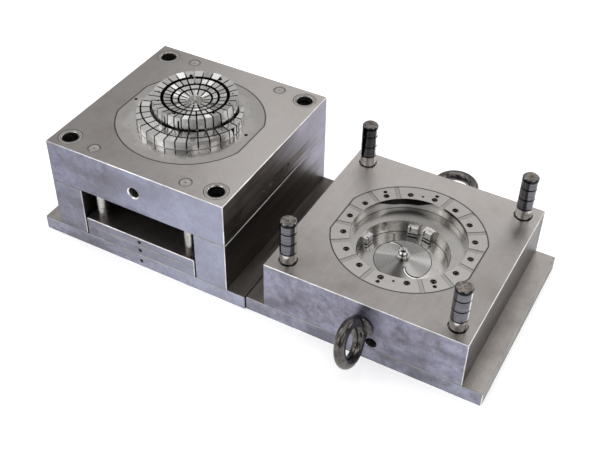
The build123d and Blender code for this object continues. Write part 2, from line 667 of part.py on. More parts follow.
def eye_bolt_holes():
    """The two tapped holes of the eye bolts, in the front and rear faces of the cavity plate."""
    holes = []
    for side, x in ((-1, FRONT_EYE_X), (1, REAR_EYE_X)):
        start = (x, side * (PLATE_SIDE / 2 - EYE_SHANK_LENGTH - BEYOND), EYE_HEIGHT)
        length = EYE_SHANK_LENGTH + 2 * BEYOND
        holes.append(side_rod(EYE_SHANK_RADIUS + THREAD_GAP, start, length, (0, side, 0)))
    return holes


def water_holes():
    """The plain cooling holes beside the eye bolts, one in front and one behind."""
    holes = []
    for side in (-1, 1):
        start = (WATER_HOLE_X, side * (PLATE_SIDE / 2 - WATER_HOLE_DEPTH), WATER_HOLE_HEIGHT)
        holes.append(side_rod(WATER_HOLE_RADIUS, start, WATER_HOLE_DEPTH + BEYOND, (0, side, 0)))
    return holes


def cavity_ports():
    """The small ports low in the right-hand face of the cavity plate."""
    start_x = PLATE_SIDE / 2 - CAVITY_PORT_DEPTH
    length = CAVITY_PORT_DEPTH + BEYOND
    return [side_rod(CAVITY_PORT_RADIUS, (start_x, y, z), length, (1, 0, 0)) for y, z in CAVITY_PORTS]


def cavity_plate():
    """The thick plate that carries the cavity insert, the guide pins and the eye bolts."""
    body = plate(PLATE_SIDE, PLATE_SIDE, CLAMP_THICKNESS, CAVITY_FACE)
    cuts = [insert_outline(CAVITY_POCKET, CAVITY_FACE + BEYOND, SEAT_GAP)]
    sprue_way = NOSE_COLLAR_RADIUS + SEAT_GAP
    cuts.append(rod(sprue_way, CLAMP_THICKNESS - BEYOND, CAVITY_POCKET + BEYOND, CAVITY_CENTRE))
    for at in GUIDES:
        cuts.append(rod(GUIDE_SEAT_RADIUS + SEAT_GAP, CLAMP_THICKNESS - BEYOND, CAVITY_FACE + BEYOND, at))
        head_top = CLAMP_THICKNESS + GUIDE_HEAD_HEIGHT
        cuts.append(rod(GUIDE_HEAD_RADIUS + HEAD_GAP, CLAMP_THICKNESS - BEYOND, head_top, at))
        cuts.append(rod(GUIDE_RELIEF_RADIUS, CAVITY_FACE - GUIDE_RELIEF_DEPTH, CAVITY_FACE + BEYOND, at))
    for at in BASE_SCREWS:
        cuts.append(thread_hole(M12, CLAMP_THICKNESS - BEYOND, CAVITY_BASE_TIP + BEYOND, at))
    for at in rim_screw_points():
        cuts.append(thread_hole(RIM_SCREW, RIM_TIP - BEYOND, CAVITY_POCKET + BEYOND, at))
    for at in floor_screw_points():
        cuts.append(screw_pocket(M6, CLAMP_THICKNESS - BEYOND, EJECTOR_SEAT, at))
        cuts.append(screw_way(M6, EJECTOR_SEAT - BEYOND, CAVITY_POCKET + BEYOND, at))
    return body - cuts - eye_bolt_holes() - water_holes() - cavity_ports()


def floor_height(radius):
    """Height of the coned floor of the lower cavity at a distance from its axis."""
    return FLOOR_EDGE + FLOOR_SLOPE * (FLOOR_RADIUS - radius)


def lower_cavity():
    """The cutter of the lower cavity: tapered wall over a floor that rises to the middle."""
    outline = [
        (0, floor_height(0)), (FLOOR_RADIUS, FLOOR_EDGE), (UPPER_CAVITY_RADIUS, SHELF),
        (UPPER_CAVITY_RADIUS, SHELF + BEYOND), (0, SHELF + BEYOND),
    ]
    profile = Plane.XZ * make_face(Polyline(*outline, close=True))
    return Pos(CAVITY_CENTRE[0], CAVITY_CENTRE[1], 0) * revolve(profile, Axis.Z)


def clip_block(angle, gap=0.0):
    """A small block let into the wall of the lower cavity, which forms a clip of the moulded part."""
    thickness = CLIP_BLOCK_THICKNESS + CLIP_BLOCK_SEAT
    inner = FLOOR_RADIUS - CLIP_BLOCK_THICKNESS
    low, high = FLOOR_EDGE - CLIP_BLOCK_CLEAR, SHELF - CLIP_BLOCK_DROP + gap
    bar = Pos(inner + thickness / 2, 0, (low + high) / 2) * Box(
        thickness + 2 * gap, CLIP_BLOCK_WIDTH + 2 * gap, high - low)
    return Pos(CAVITY_CENTRE[0], CAVITY_CENTRE[1], 0) * Rot(0, 0, angle) * bar


def dressed_clip_block(angle):
    """A clip block with its upright groove and the undercut at its foot."""
    front = FLOOR_RADIUS - CLIP_BLOCK_THICKNESS
    place = Pos(CAVITY_CENTRE[0], CAVITY_CENTRE[1], 0) * Rot(0, 0, angle)
    foot_low = floor_height(front) + BEYOND
    groove_low, groove_high = foot_low + 2 * CLIP_BLOCK_FOOT, SHELF
    groove = Pos(front, CLIP_BLOCK_WIDTH / 4, (groove_low + groove_high) / 2) * Box(
        2 * CLIP_GROOVE_DEPTH, CLIP_GROOVE_WIDTH, groove_high - groove_low)
    foot = Pos(front, 0, foot_low + CLIP_BLOCK_FOOT / 2) * Box(
        2 * CLIP_GROOVE_DEPTH, CLIP_BLOCK_WIDTH + BEYOND, CLIP_BLOCK_FOOT)
    return clip_block(angle) - place * groove - place * foot


def wall_pin_place():
    """The place of the upright pin, under the outer ring groove of the core when the mould is closed."""
    return polar(TOP_RING_RADII[0], WALL_PIN_ANGLE, CAVITY_CENTRE)


def vents():
    """Shallow vents across the rim, midway between its screws."""
    cutters = []
    step = 360.0 / RIM_SCREWS
    span = INSERT_RADIUS - CAVITY_RADIUS
    middle = (INSERT_RADIUS + CAVITY_RADIUS) / 2
    for index in range(RIM_SCREWS):
        if index in AIR_HOLE_INDEX:
            continue
        bar = Pos(middle, 0, CAVITY_FACE) * Box(span + 2 * BEYOND, VENT_WIDTH, 2 * VENT_DEPTH)
        cutters.append(Rot(0, 0, (index + 0.5) * step) * bar)
    return cutters


def air_holes():
    """Two small blind holes in the rim, opposite each other, where no vent runs."""
    step = 360.0 / RIM_SCREWS
    places = [polar(RIM_SCREW_REACH, (index + 0.5) * step) for index in AIR_HOLE_INDEX]
    return [rod(AIR_HOLE_RADIUS, CAVITY_FACE - AIR_HOLE_DEPTH, CAVITY_FACE + BEYOND, at) for at in places]


def wall_rings():
    """Two fine ring steps near the top of the upper cavity's wall."""
    rings = []
    for depth in WALL_RING_DEPTHS:
        top = CAVITY_FACE - depth
        rings.append(ring(CAVITY_RADIUS, 2 * WALL_RING_SIZE, top - WALL_RING_SIZE, top))
    return rings


def cavity_insert():
    """The round insert of the cavity half: rim, upper cavity, shelf and the off-centre lower cavity."""
    body = broken_top(insert_outline(CAVITY_POCKET, CAVITY_FACE), INSERT_EDGE_BREAK)
    body -= taper(CAVITY_RADIUS - CAVITY_DRAFT, CAVITY_RADIUS, SHELF, CAVITY_FACE)
    body -= lower_cavity()
    cuts = [rod(FLOOR_DISC_RADIUS + SEAT_GAP, CAVITY_POCKET - BEYOND, SHELF, CAVITY_CENTRE)]
    for at in rim_screw_points():
        cuts.append(screw_pocket(RIM_SCREW, CAVITY_FACE + BEYOND, RIM_SEAT, at))
        cuts.append(screw_way(RIM_SCREW, CAVITY_POCKET - BEYOND, RIM_SEAT + BEYOND, at))
    for at in dowel_points():
        cuts.append(rod(DOWEL_RADIUS + SEAT_GAP, CAVITY_POCKET - BEYOND, CAVITY_FACE + BEYOND, at))
    cuts += [clip_block(-angle, SEAT_GAP) for angle in CLIP_ANGLES]
    cuts.append(rod(WALL_PIN_RADIUS + SEAT_GAP, FLOOR_EDGE - WALL_PIN_HEIGHT, SHELF, wall_pin_place()))
    return body - cuts - vents() - air_holes() - wall_rings()


def runner_groove(turn):
    """One arm of the curved runner: a round groove along an arc that follows the coned floor."""
    points = []
    for x, y in (RUNNER_START, RUNNER_MIDDLE, RUNNER_END):
        points.append((x, y, floor_height(math.hypot(x, y)) + RUNNER_RADIUS / 3))
    path = ThreePointArc(*points)
    section = Plane(origin=path @ 0, z_dir=path % 0) * Circle(RUNNER_RADIUS)
    arm = sweep(section, path=path)
    return Pos(CAVITY_CENTRE[0], CAVITY_CENTRE[1], 0) * Rot(0, 0, turn) * arm


def floor_disc():
    """The turned disc in the cavity's floor, coned, with the two arms of the runner."""
    base = CAVITY_POCKET
    outline = [
        (0, base), (FLOOR_DISC_RADIUS, base), (FLOOR_DISC_RADIUS, floor_height(FLOOR_DISC_RADIUS)),
        (0, floor_height(0)),
    ]
    profile = Plane.XZ * make_face(Polyline(*outline, close=True))
    disc = Pos(CAVITY_CENTRE[0], CAVITY_CENTRE[1], 0) * revolve(profile, Axis.Z)
    disc -= rod(NOSE_COLLAR_RADIUS + SEAT_GAP, base - BEYOND, SHELF, CAVITY_CENTRE)
    disc -= [thread_hole(M6, base - BEYOND, FLOOR_SCREW_TIP + BEYOND, at) for at in floor_screw_points()]
    return disc - runner_groove(0) - runner_groove(180)


def floor_disc_screws():
    """Three screws from below that hold the floor disc on the cavity plate."""
    return [cap_screw(M6, EJECTOR_SEAT, FLOOR_SCREW_TIP, at) for at in floor_screw_points()]


def wall_pin():
    """A small upright pin with a broken end, let into the cavity's floor."""
    low, high = FLOOR_EDGE - WALL_PIN_HEIGHT, FLOOR_EDGE + WALL_PIN_HEIGHT
    pin = rod(WALL_PIN_RADIUS, low, high, wall_pin_place())
    return chamfer(pin.edges().group_by(Axis.Z)[-1], WALL_PIN_RADIUS / 2)


def sprue_bush():
    """The sprue bush, from the nozzle seat under the clamp plate up to its nose in the cavity."""
    flange_top = CLAMP_THICKNESS
    collar_top = NOSE_BASE + NOSE_COLLAR_HEIGHT
    bevel = NOSE_BEVEL
    outline = [
        (0, LOCATING_THICKNESS), (SPRUE_FLANGE_RADIUS, LOCATING_THICKNESS), (SPRUE_FLANGE_RADIUS, flange_top),
        (NOSE_COLLAR_RADIUS, flange_top), (NOSE_COLLAR_RADIUS, collar_top), (NOSE_RADIUS, collar_top),
        (NOSE_RADIUS, NOSE_TOP - bevel), (NOSE_RADIUS - bevel, NOSE_TOP), (0, NOSE_TOP),
    ]
    profile = Plane.XZ * make_face(Polyline(*outline, close=True))
    bush = revolve(profile, Axis.Z)
    bush -= taper(SPRUE_LOW_RADIUS, SPRUE_TOP_RADIUS, LOCATING_THICKNESS, NOSE_TOP)
    seat_middle = LOCATING_THICKNESS - SPRUE_SEAT_RADIUS + SPRUE_LOW_RADIUS * 2
    bush -= Pos(0, 0, seat_middle) * Sphere(SPRUE_SEAT_RADIUS)
    bush -= taper(SPRUE_TOP_RADIUS, NOSE_RADIUS - bevel - BEYOND, NOSE_TOP - 2 * BEYOND, NOSE_TOP)
    return Pos(CAVITY_CENTRE[0], CAVITY_CENTRE[1], 0) * bush


def locating_ring():
    """The locating ring, let in flush so that the half stands flat on its clamp plate."""
    body = rod(LOCATING_RADIUS, 0, LOCATING_THICKNESS, CAVITY_CENTRE)
    cuts = [rod(LOCATING_BORE, -BEYOND, LOCATING_THICKNESS + BEYOND, CAVITY_CENTRE)]
    cuts.append(taper(LOCATING_BORE + 2 * BEYOND, LOCATING_BORE, 0, 2 * BEYOND, CAVITY_CENTRE))
    for at in locating_points():
        cuts.append(screw_pocket(M6, -BEYOND, LOCATING_SEAT, at))
        cuts.append(screw_way(M6, LOCATING_SEAT - BEYOND, LOCATING_THICKNESS + BEYOND, at))
    return body - cuts


def guide_pin(at):
    """A headed guide pin: tight seat, oil grooves, a bevelled end and a centre dimple."""
    top = CAVITY_FACE + GUIDE_HEIGHT
    pin = rod(GUIDE_RADIUS, CLAMP_THICKNESS, top, at)
    pin = chamfer(pin.edges().group_by(Axis.Z)[-1], GUIDE_BEVEL)
    pin += rod(GUIDE_SEAT_RADIUS, CLAMP_THICKNESS, CAVITY_FACE - GUIDE_RELIEF_DEPTH, at)
    pin += rod(GUIDE_HEAD_RADIUS, CLAMP_THICKNESS, CLAMP_THICKNESS + GUIDE_HEAD_HEIGHT, at)
    for index in range(1, OIL_GROOVES + 1):
        low = CAVITY_FACE + index * OIL_GROOVE_PITCH - OIL_GROOVE_WIDTH / 2
        pin -= ring(GUIDE_RADIUS, 2 * OIL_GROOVE_DEPTH, low, low + OIL_GROOVE_WIDTH, at)
    return pin - rod(CENTRE_DOT_RADIUS, top - CENTRE_DOT_DEPTH, top + BEYOND, at)


def eye_bolt(side, x, turn):
    """A forged eye bolt in the front (-1) or rear (+1) face; its ring stands upright at a turn of 0."""
    face = side * PLATE_SIDE / 2
    axis = (0, side, 0)
    foot = (x, face, EYE_HEIGHT)
    centre = (x, face + side * EYE_CENTRE_REACH, EYE_HEIGHT)
    across = (math.cos(math.radians(turn)), 0, math.sin(math.radians(turn)))
    bolt = Plane(origin=centre, z_dir=across) * Torus(EYE_RING_RADIUS, EYE_TUBE_RADIUS)
    bolt += side_rod(EYE_COLLAR_RADIUS, foot, EYE_COLLAR_HEIGHT, axis)
    neck_height = EYE_CENTRE_REACH - EYE_RING_RADIUS + EYE_TUBE_RADIUS / 2 - EYE_COLLAR_HEIGHT
    neck_middle = EYE_COLLAR_HEIGHT + neck_height / 2
    bolt += Plane(origin=foot, z_dir=axis) * Pos(0, 0, neck_middle) * Cone(
        EYE_COLLAR_RADIUS - 2 * BEYOND, EYE_NECK_RADIUS - 2 * BEYOND, neck_height)
    start = (x, face - side * EYE_SHANK_LENGTH, EYE_HEIGHT)
    return bolt + side_rod(EYE_SHANK_RADIUS, start, EYE_SHANK_LENGTH + BEYOND, axis)


def fixed_side_screws():
    """Four screws that hold the cavity plate on its clamp plate."""
    return [cap_screw(M12, BASE_SEAT, CAVITY_BASE_TIP, at) for at in BASE_SCREWS]


def rim_screws():
    """The ring of small cap screws that holds the cavity insert down in its pocket."""
    return [cap_screw(RIM_SCREW, RIM_SEAT, RIM_TIP, at, up=False) for at in rim_screw_points()]


def rim_dowels():
    """The four dowels that set the cavity insert in its pocket."""
    return [rod(DOWEL_RADIUS, CAVITY_POCKET, CAVITY_FACE - DOWEL_SINK, at) for at in dowel_points()]


def locating_ring_screws():
    """The three screws of the locating ring."""
    return [cap_screw(M6, LOCATING_SEAT, LOCATING_TIP, at) for at in locating_points()]


def core_half():
    """The nodes of the core half, about its own centre line."""
    nodes = {
        "moving_clamp_plate": moving_clamp_plate(),
        "spacer_block_left": spacer_block(-1),
        "spacer_block_right": spacer_block(1),
        "core_plate": core_plate(),
        "core_insert": core_insert(),
        "upper_core": upper_core(),
        "core_pin": core_pin(),
        "moving_side_screws": moving_side_screws(),
        "core_insert_screws": core_insert_screws(),
        "ejector_plate": ejector_plate(),
        "retainer_plate": retainer_plate(),
        "ejector_plate_screws": ejector_plate_screws(),
        "ejector_pins": ejector_pins(),
    }
    for name, at in zip(CORNER_NAMES, GUIDES):
        nodes["guide_bush_" + name] = guide_bush(at)
    for name, at in zip(CORNER_NAMES, RETURNS):
        nodes["return_pin_" + name] = return_pin(at)
    return nodes


def cavity_half():
    """The nodes of the cavity half, about its own centre line."""
    nodes = {
        "fixed_clamp_plate": fixed_clamp_plate(),
        "cavity_plate": cavity_plate(),
        "cavity_insert": cavity_insert(),
        "floor_disc": floor_disc(),
        "wall_pin": wall_pin(),
        "sprue_bush": sprue_bush(),
        "locating_ring": locating_ring(),
        "eye_bolt_front": eye_bolt(-1, FRONT_EYE_X, FRONT_EYE_TURN),
        "eye_bolt_rear": eye_bolt(1, REAR_EYE_X, REAR_EYE_TURN),
        "fixed_side_screws": fixed_side_screws(),
        "rim_screws": rim_screws(),
        "rim_dowels": rim_dowels(),
        "locating_ring_screws": locating_ring_screws(),
        "floor_disc_screws": floor_disc_screws(),
    }
    for name, at in zip(CORNER_NAMES, GUIDES):
        nodes["guide_pin_" + name] = guide_pin(at)
    for index, angle in enumerate(CLIP_ANGLES, start=1):
        nodes["clip_block_" + str(index)] = dressed_clip_block(-angle)
    return nodes


def write_nodes(nodes, place):
    """Move each node to its place in the row and write it to its own file."""
    for name, shape in nodes.items():
        pieces = shape if isinstance(shape, list) else [shape]
        solids = [place * solid for piece in pieces for solid in piece.solids()]
        result = solids[0] if len(solids) == 1 else Compound(children=solids)
        export_step(result, "parts/" + name + ".step")


os.makedirs("parts", exist_ok=True)
half_pitch = (CLAMP_WIDTH + HALVES_GAP) / 2
write_nodes(core_half(), Pos(-half_pitch, -CORE_HALF_SHIFT, 0))
write_nodes(cavity_half(), Pos(half_pitch, 0, 0))
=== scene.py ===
"""Studio scene of an opened injection mould: the core half on the left, the cavity half on the right.

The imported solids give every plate, insert, pin and screw its place. This script adds the forged eye
bolts, the lifting threads and the finishes of each part: ground plates, hand-polished core blocks, the
mirror-finished cavity, the turned floor disc, hardened pins, blackened screws and forged steel. Lengths
are in metres, and seams, steps and lines are given in millimetres times MM.
"""
import bmesh
import bpy
import math
import numpy as np
from mathutils import Matrix, Vector


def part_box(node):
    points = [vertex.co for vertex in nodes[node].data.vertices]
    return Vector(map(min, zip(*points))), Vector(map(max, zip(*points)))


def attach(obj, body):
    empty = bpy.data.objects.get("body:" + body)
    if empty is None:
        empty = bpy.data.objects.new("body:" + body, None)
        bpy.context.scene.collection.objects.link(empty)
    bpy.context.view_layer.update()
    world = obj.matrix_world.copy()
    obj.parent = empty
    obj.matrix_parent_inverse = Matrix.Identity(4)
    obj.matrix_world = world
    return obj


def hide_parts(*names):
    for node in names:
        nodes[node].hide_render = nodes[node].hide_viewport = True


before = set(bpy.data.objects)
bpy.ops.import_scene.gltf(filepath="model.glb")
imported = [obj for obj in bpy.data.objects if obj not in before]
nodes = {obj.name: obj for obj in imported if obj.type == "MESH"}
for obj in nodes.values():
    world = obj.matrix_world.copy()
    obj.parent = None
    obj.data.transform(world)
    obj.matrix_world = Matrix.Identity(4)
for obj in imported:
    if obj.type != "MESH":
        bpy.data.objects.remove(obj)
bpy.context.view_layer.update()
MM = 0.001
DEGREES = 180.0 / math.pi


def midpoint(box):
    """The point halfway between a box's two corners."""
    return [(a + b) / 2 for a, b in zip(*box)]


# Places that the finishes and the added pieces take from the solids.
PARTING_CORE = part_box("core_plate")[1][2]
PARTING_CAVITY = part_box("cavity_plate")[1][2]
FLOOR_DISC_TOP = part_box("floor_disc")[1][2]
CORE_MIDDLE = midpoint(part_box("core_insert"))
CAVITY_MIDDLE = midpoint(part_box("cavity_insert"))
UPPER_CORE_MIDDLE = midpoint(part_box("core_pin"))
FLOOR_DISC_MIDDLE = midpoint(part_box("floor_disc"))

# Sizes of the solids that the finishes follow.
INSERT_RADIUS = 92.5 * MM
INSERT_HALF_WIDTH = 87.5 * MM
BUSH_PLACE = (104 * MM, 104 * MM)
BUSH_EDGE = 14.6 * MM
RETURN_PIN_PLACE = (65 * MM, 108 * MM)
RETURN_PIN_EDGE = 7.6 * MM
UPPER_TIER_RADIUS = 54 * MM
UPPER_TIER_HEIGHT = 27.5 * MM
LOWER_TIER_TOP = PARTING_CORE + 11.5 * MM
DISH_SLOPE = 0.19
RIB_STEP = math.radians(12.0)
RIB_PHASE = math.radians(108.2)
RIB_SPREAD_SHIFT = 9 * MM
CAVITY_EDGE = 70.2 * MM
LOWER_CAVITY_FOOT = 53.8 * MM
FLOOR_SLOPE = 0.16
FLOOR_DISC_BORE = 8.1 * MM
OIL_GROOVE_PITCH = 15.1 * MM
LIFTING_HOLE_HEIGHT = 119 * MM
EYE_CENTRE_REACH = 30 * MM
# The upper tier's ring grooves: radius and half width.
RING_GROOVES = ((40.8 * MM, 2.1 * MM), (29.1 * MM, 1.55 * MM), (20.7 * MM, 1.3 * MM))
# The painted shade lines at the steps round the cavity's wall: depth and width in millimetres, and share.
CAVITY_STEPS = ((2.2, 0.4, 0.75), (4.2, 0.4, 0.8), (13.2, 0.6, 0.9))
# In degrees: the step from one vent in the rim to the next, and the air holes, which have no vent's outline.
RIM_STEP = 22.5
RIM_AIR_HOLES = (101.25, -78.75)

# Named colours: oil and painted shade in seams, painted shade lines, painted black shade in the guide
# pins' grooves and in slots and recesses, and white for worn edges and painted highlights.
OIL_AND_SHADE = (0.012, 0.011, 0.01)
PIN_SHADE_BLACK = (0.014, 0.013, 0.012)
SHADE_LINE = (0.05, 0.048, 0.045)
RECESS_SHADE = (0.02, 0.019, 0.018)
BARE_AND_HIGHLIGHT_WHITE = (0.95, 0.94, 0.92)


# The camera and the studio.


def photo_camera():
    """The camera at the photograph's viewing angle, found by fitting the base's corners."""
    data = bpy.data.cameras.new("photo_camera")
    data.sensor_width = 36.0
    data.lens = 59.43
    data.clip_start, data.clip_end = 0.05, 30.0
    camera = bpy.data.objects.new("photo_camera", data)
    bpy.context.scene.collection.objects.link(camera)
    right = Vector((0.87554, 0.48298, 0.01249))
    up = Vector((-0.32861, 0.57634, 0.74823))
    back = Vector((0.35418, -0.65921, 0.66332))
    turn = Matrix((right, up, back)).transposed()
    camera.matrix_world = Matrix.Translation((0.44559, -0.82022, 0.86518)) @ turn.to_4x4()
    bpy.context.scene.camera = camera


# Each lamp's place, width, height and power in watts.
LAMPS = {
    "overhead_lamp": ((-0.1, 0.1, 2.4), 2.8, 2.4, 36.0),
    "rear_lamp": ((-0.55, 1.6, 1.68), 2.6, 1.2, 7.0),
    "rear_right_lamp": ((0.45, 1.7, 1.15), 0.5, 0.7, 1.6),
    "right_rear_lamp": ((1.42, 1.2, 1.15), 0.8, 1.0, 4.5),
    "front_lamp": ((-0.55, -1.52, 1.45), 0.7, 0.9, 2.0),
    "left_front_lamp": ((-1.3, -1.52, 1.42), 0.7, 0.9, 5.5),
    "left_lamp": ((-1.95, -0.1, 1.75), 1.3, 1.1, 9.0),
    "right_front_lamp": ((1.5, -1.2, 1.75), 0.9, 0.9, 3.4),
    "low_front_lamp": ((-0.6, -2.4, 0.7), 1.6, 0.6, 2.0),
    "right_lamp": ((1.8, -0.25, 1.75), 0.7, 0.7, 3.5),
}
LAMP_AIM = Vector((0.0, 0.0, 0.1))


def studio():
    """Plain soft light in a dim room: a large soft box overhead, and smaller ones all round."""
    scene = bpy.context.scene
    scene.view_settings.view_transform = "Standard"
    world = bpy.data.worlds.new("studio")
    scene.world = world
    world.use_nodes = True
    shade = world.node_tree.nodes["Background"]
    shade.inputs["Color"].default_value = (0.96, 0.97, 1.0, 1.0)
    shade.inputs["Strength"].default_value = 0.17
    for name, (place, width, height, power) in LAMPS.items():
        data = bpy.data.lights.new(name, "AREA")
        data.shape = "RECTANGLE"
        data.size, data.size_y, data.energy = width, height, power
        lamp = bpy.data.objects.new(name, data)
        scene.collection.objects.link(lamp)
        facing = (LAMP_AIM - Vector(place)).to_track_quat("-Z", "Y")
        lamp.matrix_world = Matrix.Translation(place) @ facing.to_matrix().to_4x4()


def pale_floor():
    """A plain pale floor that sweeps up far away, as white to the camera and in the steel's reflections.

    A profile turned about the upright axis: flat out to 12 m, then a curve up to a wall 16 m away and 5.5 m
    high. Its own light is weaker near the mould, so that the plates' fronts don't mirror too bright a floor.
    """
    profile = np.array([(0.0, 0.0), (12.0, 0.0), (14.0, 0.1), (15.2, 0.5), (15.8, 1.2), (16.0, 2.2),
                        (16.0, 5.5)])
    mesh = surface("pale_floor", turned(profile), rows_closed=False)
    weld(mesh)
    floor = bpy.data.objects.new("pale_floor", mesh)
    bpy.context.scene.collection.objects.link(floor)
    paint = Finish("pale_floor", (0.92, 0.92, 0.92), 0.6, metallic=0.0)
    ray = paint.tree.nodes.new("ShaderNodeLightPath")
    kinds = ("Is Camera Ray", "Is Glossy Ray", "Is Transmission Ray")
    seen = paint.most(*(ray.outputs[kind] for kind in kinds))
    lift = paint.remap(paint.reach((0.0, 0.0, 0.0))[0], 1.2, 4.0, 0.42, 0.85, "LINEAR")
    paint.put(paint.times(seen, lift), paint.shader.inputs["Emission Strength"])
    paint.put((1.0, 1.0, 1.0, 1.0), paint.shader.inputs["Emission Color"])
    mesh.materials.append(paint.material)


# Finishes.


class Finish:
    """One material's node tree, with short calls for the nodes that the finishes share.

    It keeps the colour and the roughness so far: paint() lays another colour over the first, and roughen()
    adds to the second.
    """

    def __init__(self, name, color, roughness, metallic=1.0):
        self.material = bpy.data.materials.new(name)
        self.material.use_nodes = True
        self.tree = self.material.node_tree
        self.shader = self.tree.nodes["Principled BSDF"]
        self.put((*color, 1.0), self.shader.inputs["Base Color"])
        self.put(roughness, self.shader.inputs["Roughness"])
        self.put(metallic, self.shader.inputs["Metallic"])
        self.spot = self.tree.nodes.new("ShaderNodeTexCoord")
        self.color, self.rough = color, roughness

    def put(self, value, socket):
        """Gives a socket a number, a vector, a colour or another node's output."""
        if isinstance(value, bpy.types.NodeSocket):
            self.tree.links.new(value, socket)
        elif value is not None:
            socket.default_value = value

    def at(self, centre=(0, 0, 0), turn=(0, 0, 0), stretch=(1, 1, 1)):
        """Object coordinates about a centre, turned and then stretched."""
        shift = self.tree.nodes.new("ShaderNodeVectorMath")
        shift.operation = "SUBTRACT"
        self.put(self.spot.outputs["Object"], shift.inputs[0])
        self.put(tuple(centre), shift.inputs[1])
        spin = self.tree.nodes.new("ShaderNodeMapping")
        self.put(shift.outputs[0], spin.inputs["Vector"])
        self.put(tuple(turn), spin.inputs["Rotation"])
        self.put(tuple(stretch), spin.inputs["Scale"])
        return spin.outputs[0]

    def parts(self, vector):
        """The three parts of a vector."""
        split = self.tree.nodes.new("ShaderNodeSeparateXYZ")
        self.put(vector, split.inputs[0])
        return split.outputs[0], split.outputs[1], split.outputs[2]

    def join(self, x, y=0.0, z=0.0):
        """A vector from three values."""
        node = self.tree.nodes.new("ShaderNodeCombineXYZ")
        for value, socket in zip((x, y, z), node.inputs):
            self.put(value, socket)
        return node.outputs[0]

    def calc(self, operation, *values):
        """One Math node."""
        node = self.tree.nodes.new("ShaderNodeMath")
        node.operation = operation
        for value, socket in zip(values, node.inputs):
            self.put(value, socket)
        return node.outputs[0]

    def chain(self, operation, first, *others):
        """Values worked together one after another."""
        for other in others:
            first = self.calc(operation, first, other)
        return first

    def times(self, *values):
        """The product of values."""
        return self.chain("MULTIPLY", *values)

    def plus(self, *values):
        """The sum of values."""
        return self.chain("ADD", *values)

    def most(self, *values):
        """The largest of values."""
        return self.chain("MAXIMUM", *values)

    def minus(self, a, b):
        """The first value less the second."""
        return self.calc("SUBTRACT", a, b)

    def away(self, value, middle):
        """How far a value is from a middle, either way."""
        return self.calc("ABSOLUTE", self.minus(value, middle))

    def remap(self, value, low, high, to_low=0.0, to_high=1.0, kind="SMOOTHSTEP"):
        """A value's step from one range to another, smooth unless said otherwise."""
        node = self.tree.nodes.new("ShaderNodeMapRange")
        node.interpolation_type = kind
        for item, socket in zip((value, low, high, to_low, to_high), node.inputs):
            self.put(item, socket)
        return node.outputs[0]

    def line(self, value, middle, half_width, share=1.0):
        """A soft line where a value is near its middle: the share there, and zero a half width away."""
        return self.remap(self.away(value, middle), 0.0, half_width, share, 0.0)

    def noise(self, vector, scale, detail=3.0, roughness=0.55):
        """A cloud pattern between 0 and 1."""
        node = self.tree.nodes.new("ShaderNodeTexNoise")
        self.put(vector, node.inputs["Vector"])
        self.put(scale, node.inputs["Scale"])
        self.put(detail, node.inputs["Detail"])
        self.put(roughness, node.inputs["Roughness"])
        return node.outputs["Fac"]

    def random(self, vector):
        """A random value and colour for each distinct vector."""
        node = self.tree.nodes.new("ShaderNodeTexWhiteNoise")
        self.put(vector, node.inputs["Vector"])
        return node.outputs["Value"], node.outputs["Color"]

    def mix(self, share, first, second):
        """A mix of two colours."""
        node = self.tree.nodes.new("ShaderNodeMix")
        node.data_type = "RGBA"
        self.put(share, node.inputs["Factor"])
        for socket in node.inputs:
            if socket.type == "RGBA" and socket.name in "AB":
                item = first if socket.name == "A" else second
                self.put((*item, 1.0) if isinstance(item, tuple) else item, socket)
        return [s for s in node.outputs if s.type == "RGBA"][0]

    def height(self):
        """Height in metres above the floor."""
        return self.parts(self.at())[2]

    def facing(self):
        """How far the surface faces along X, Y and Z, each from 0 to 1."""
        return [self.calc("ABSOLUTE", part) for part in self.parts(self.spot.outputs["Normal"])]

    def level_distance(self, x, y):
        """The length of a level vector."""
        return self.calc("SQRT", self.plus(self.times(x, x), self.times(y, y)))

    def reach(self, centre):
        """Distance in metres from an upright axis, and the two level parts."""
        x, y, _ = self.parts(self.at(centre))
        return self.level_distance(x, y), x, y

    def corner_reach(self, centre, across, along):
        """Distance in metres from the nearest of four upright axes, mirrored across and along a centre."""
        x, y, _ = self.parts(self.at(centre))
        return self.level_distance(self.minus(self.calc("ABSOLUTE", x), across),
                                   self.minus(self.calc("ABSOLUTE", y), along))

    def paint(self, color, *shares):
        """Lays a colour over what is there, by the product of the shares."""
        self.color = self.mix(self.times(*shares), self.color, color)

    def roughen(self, *shares):
        """Adds the product of the shares to the roughness."""
        self.rough = self.plus(self.rough, self.times(*shares))

    def white_sheen(self, share):
        """Makes a share of the surface a painted white sheen instead of bare metal."""
        self.put(self.minus(1.0, share), self.shader.inputs["Metallic"])

    def done(self, *bumps):
        """Links colour, roughness and the bumps, and gives the material.

        Each bump is a height pattern, a strength and a depth in metres, laid over those before it.
        """
        normal = None
        for height, strength, depth in bumps:
            node = self.tree.nodes.new("ShaderNodeBump")
            self.put(height, node.inputs["Height"])
            self.put(strength, node.inputs["Strength"])
            self.put(depth, node.inputs["Distance"])
            self.put(normal, node.inputs["Normal"])
            normal = node.outputs[0]
        self.put(self.color, self.shader.inputs["Base Color"])
        self.put(self.rough, self.shader.inputs["Roughness"])
        self.put(normal, self.shader.inputs["Normal"])
        return self.material


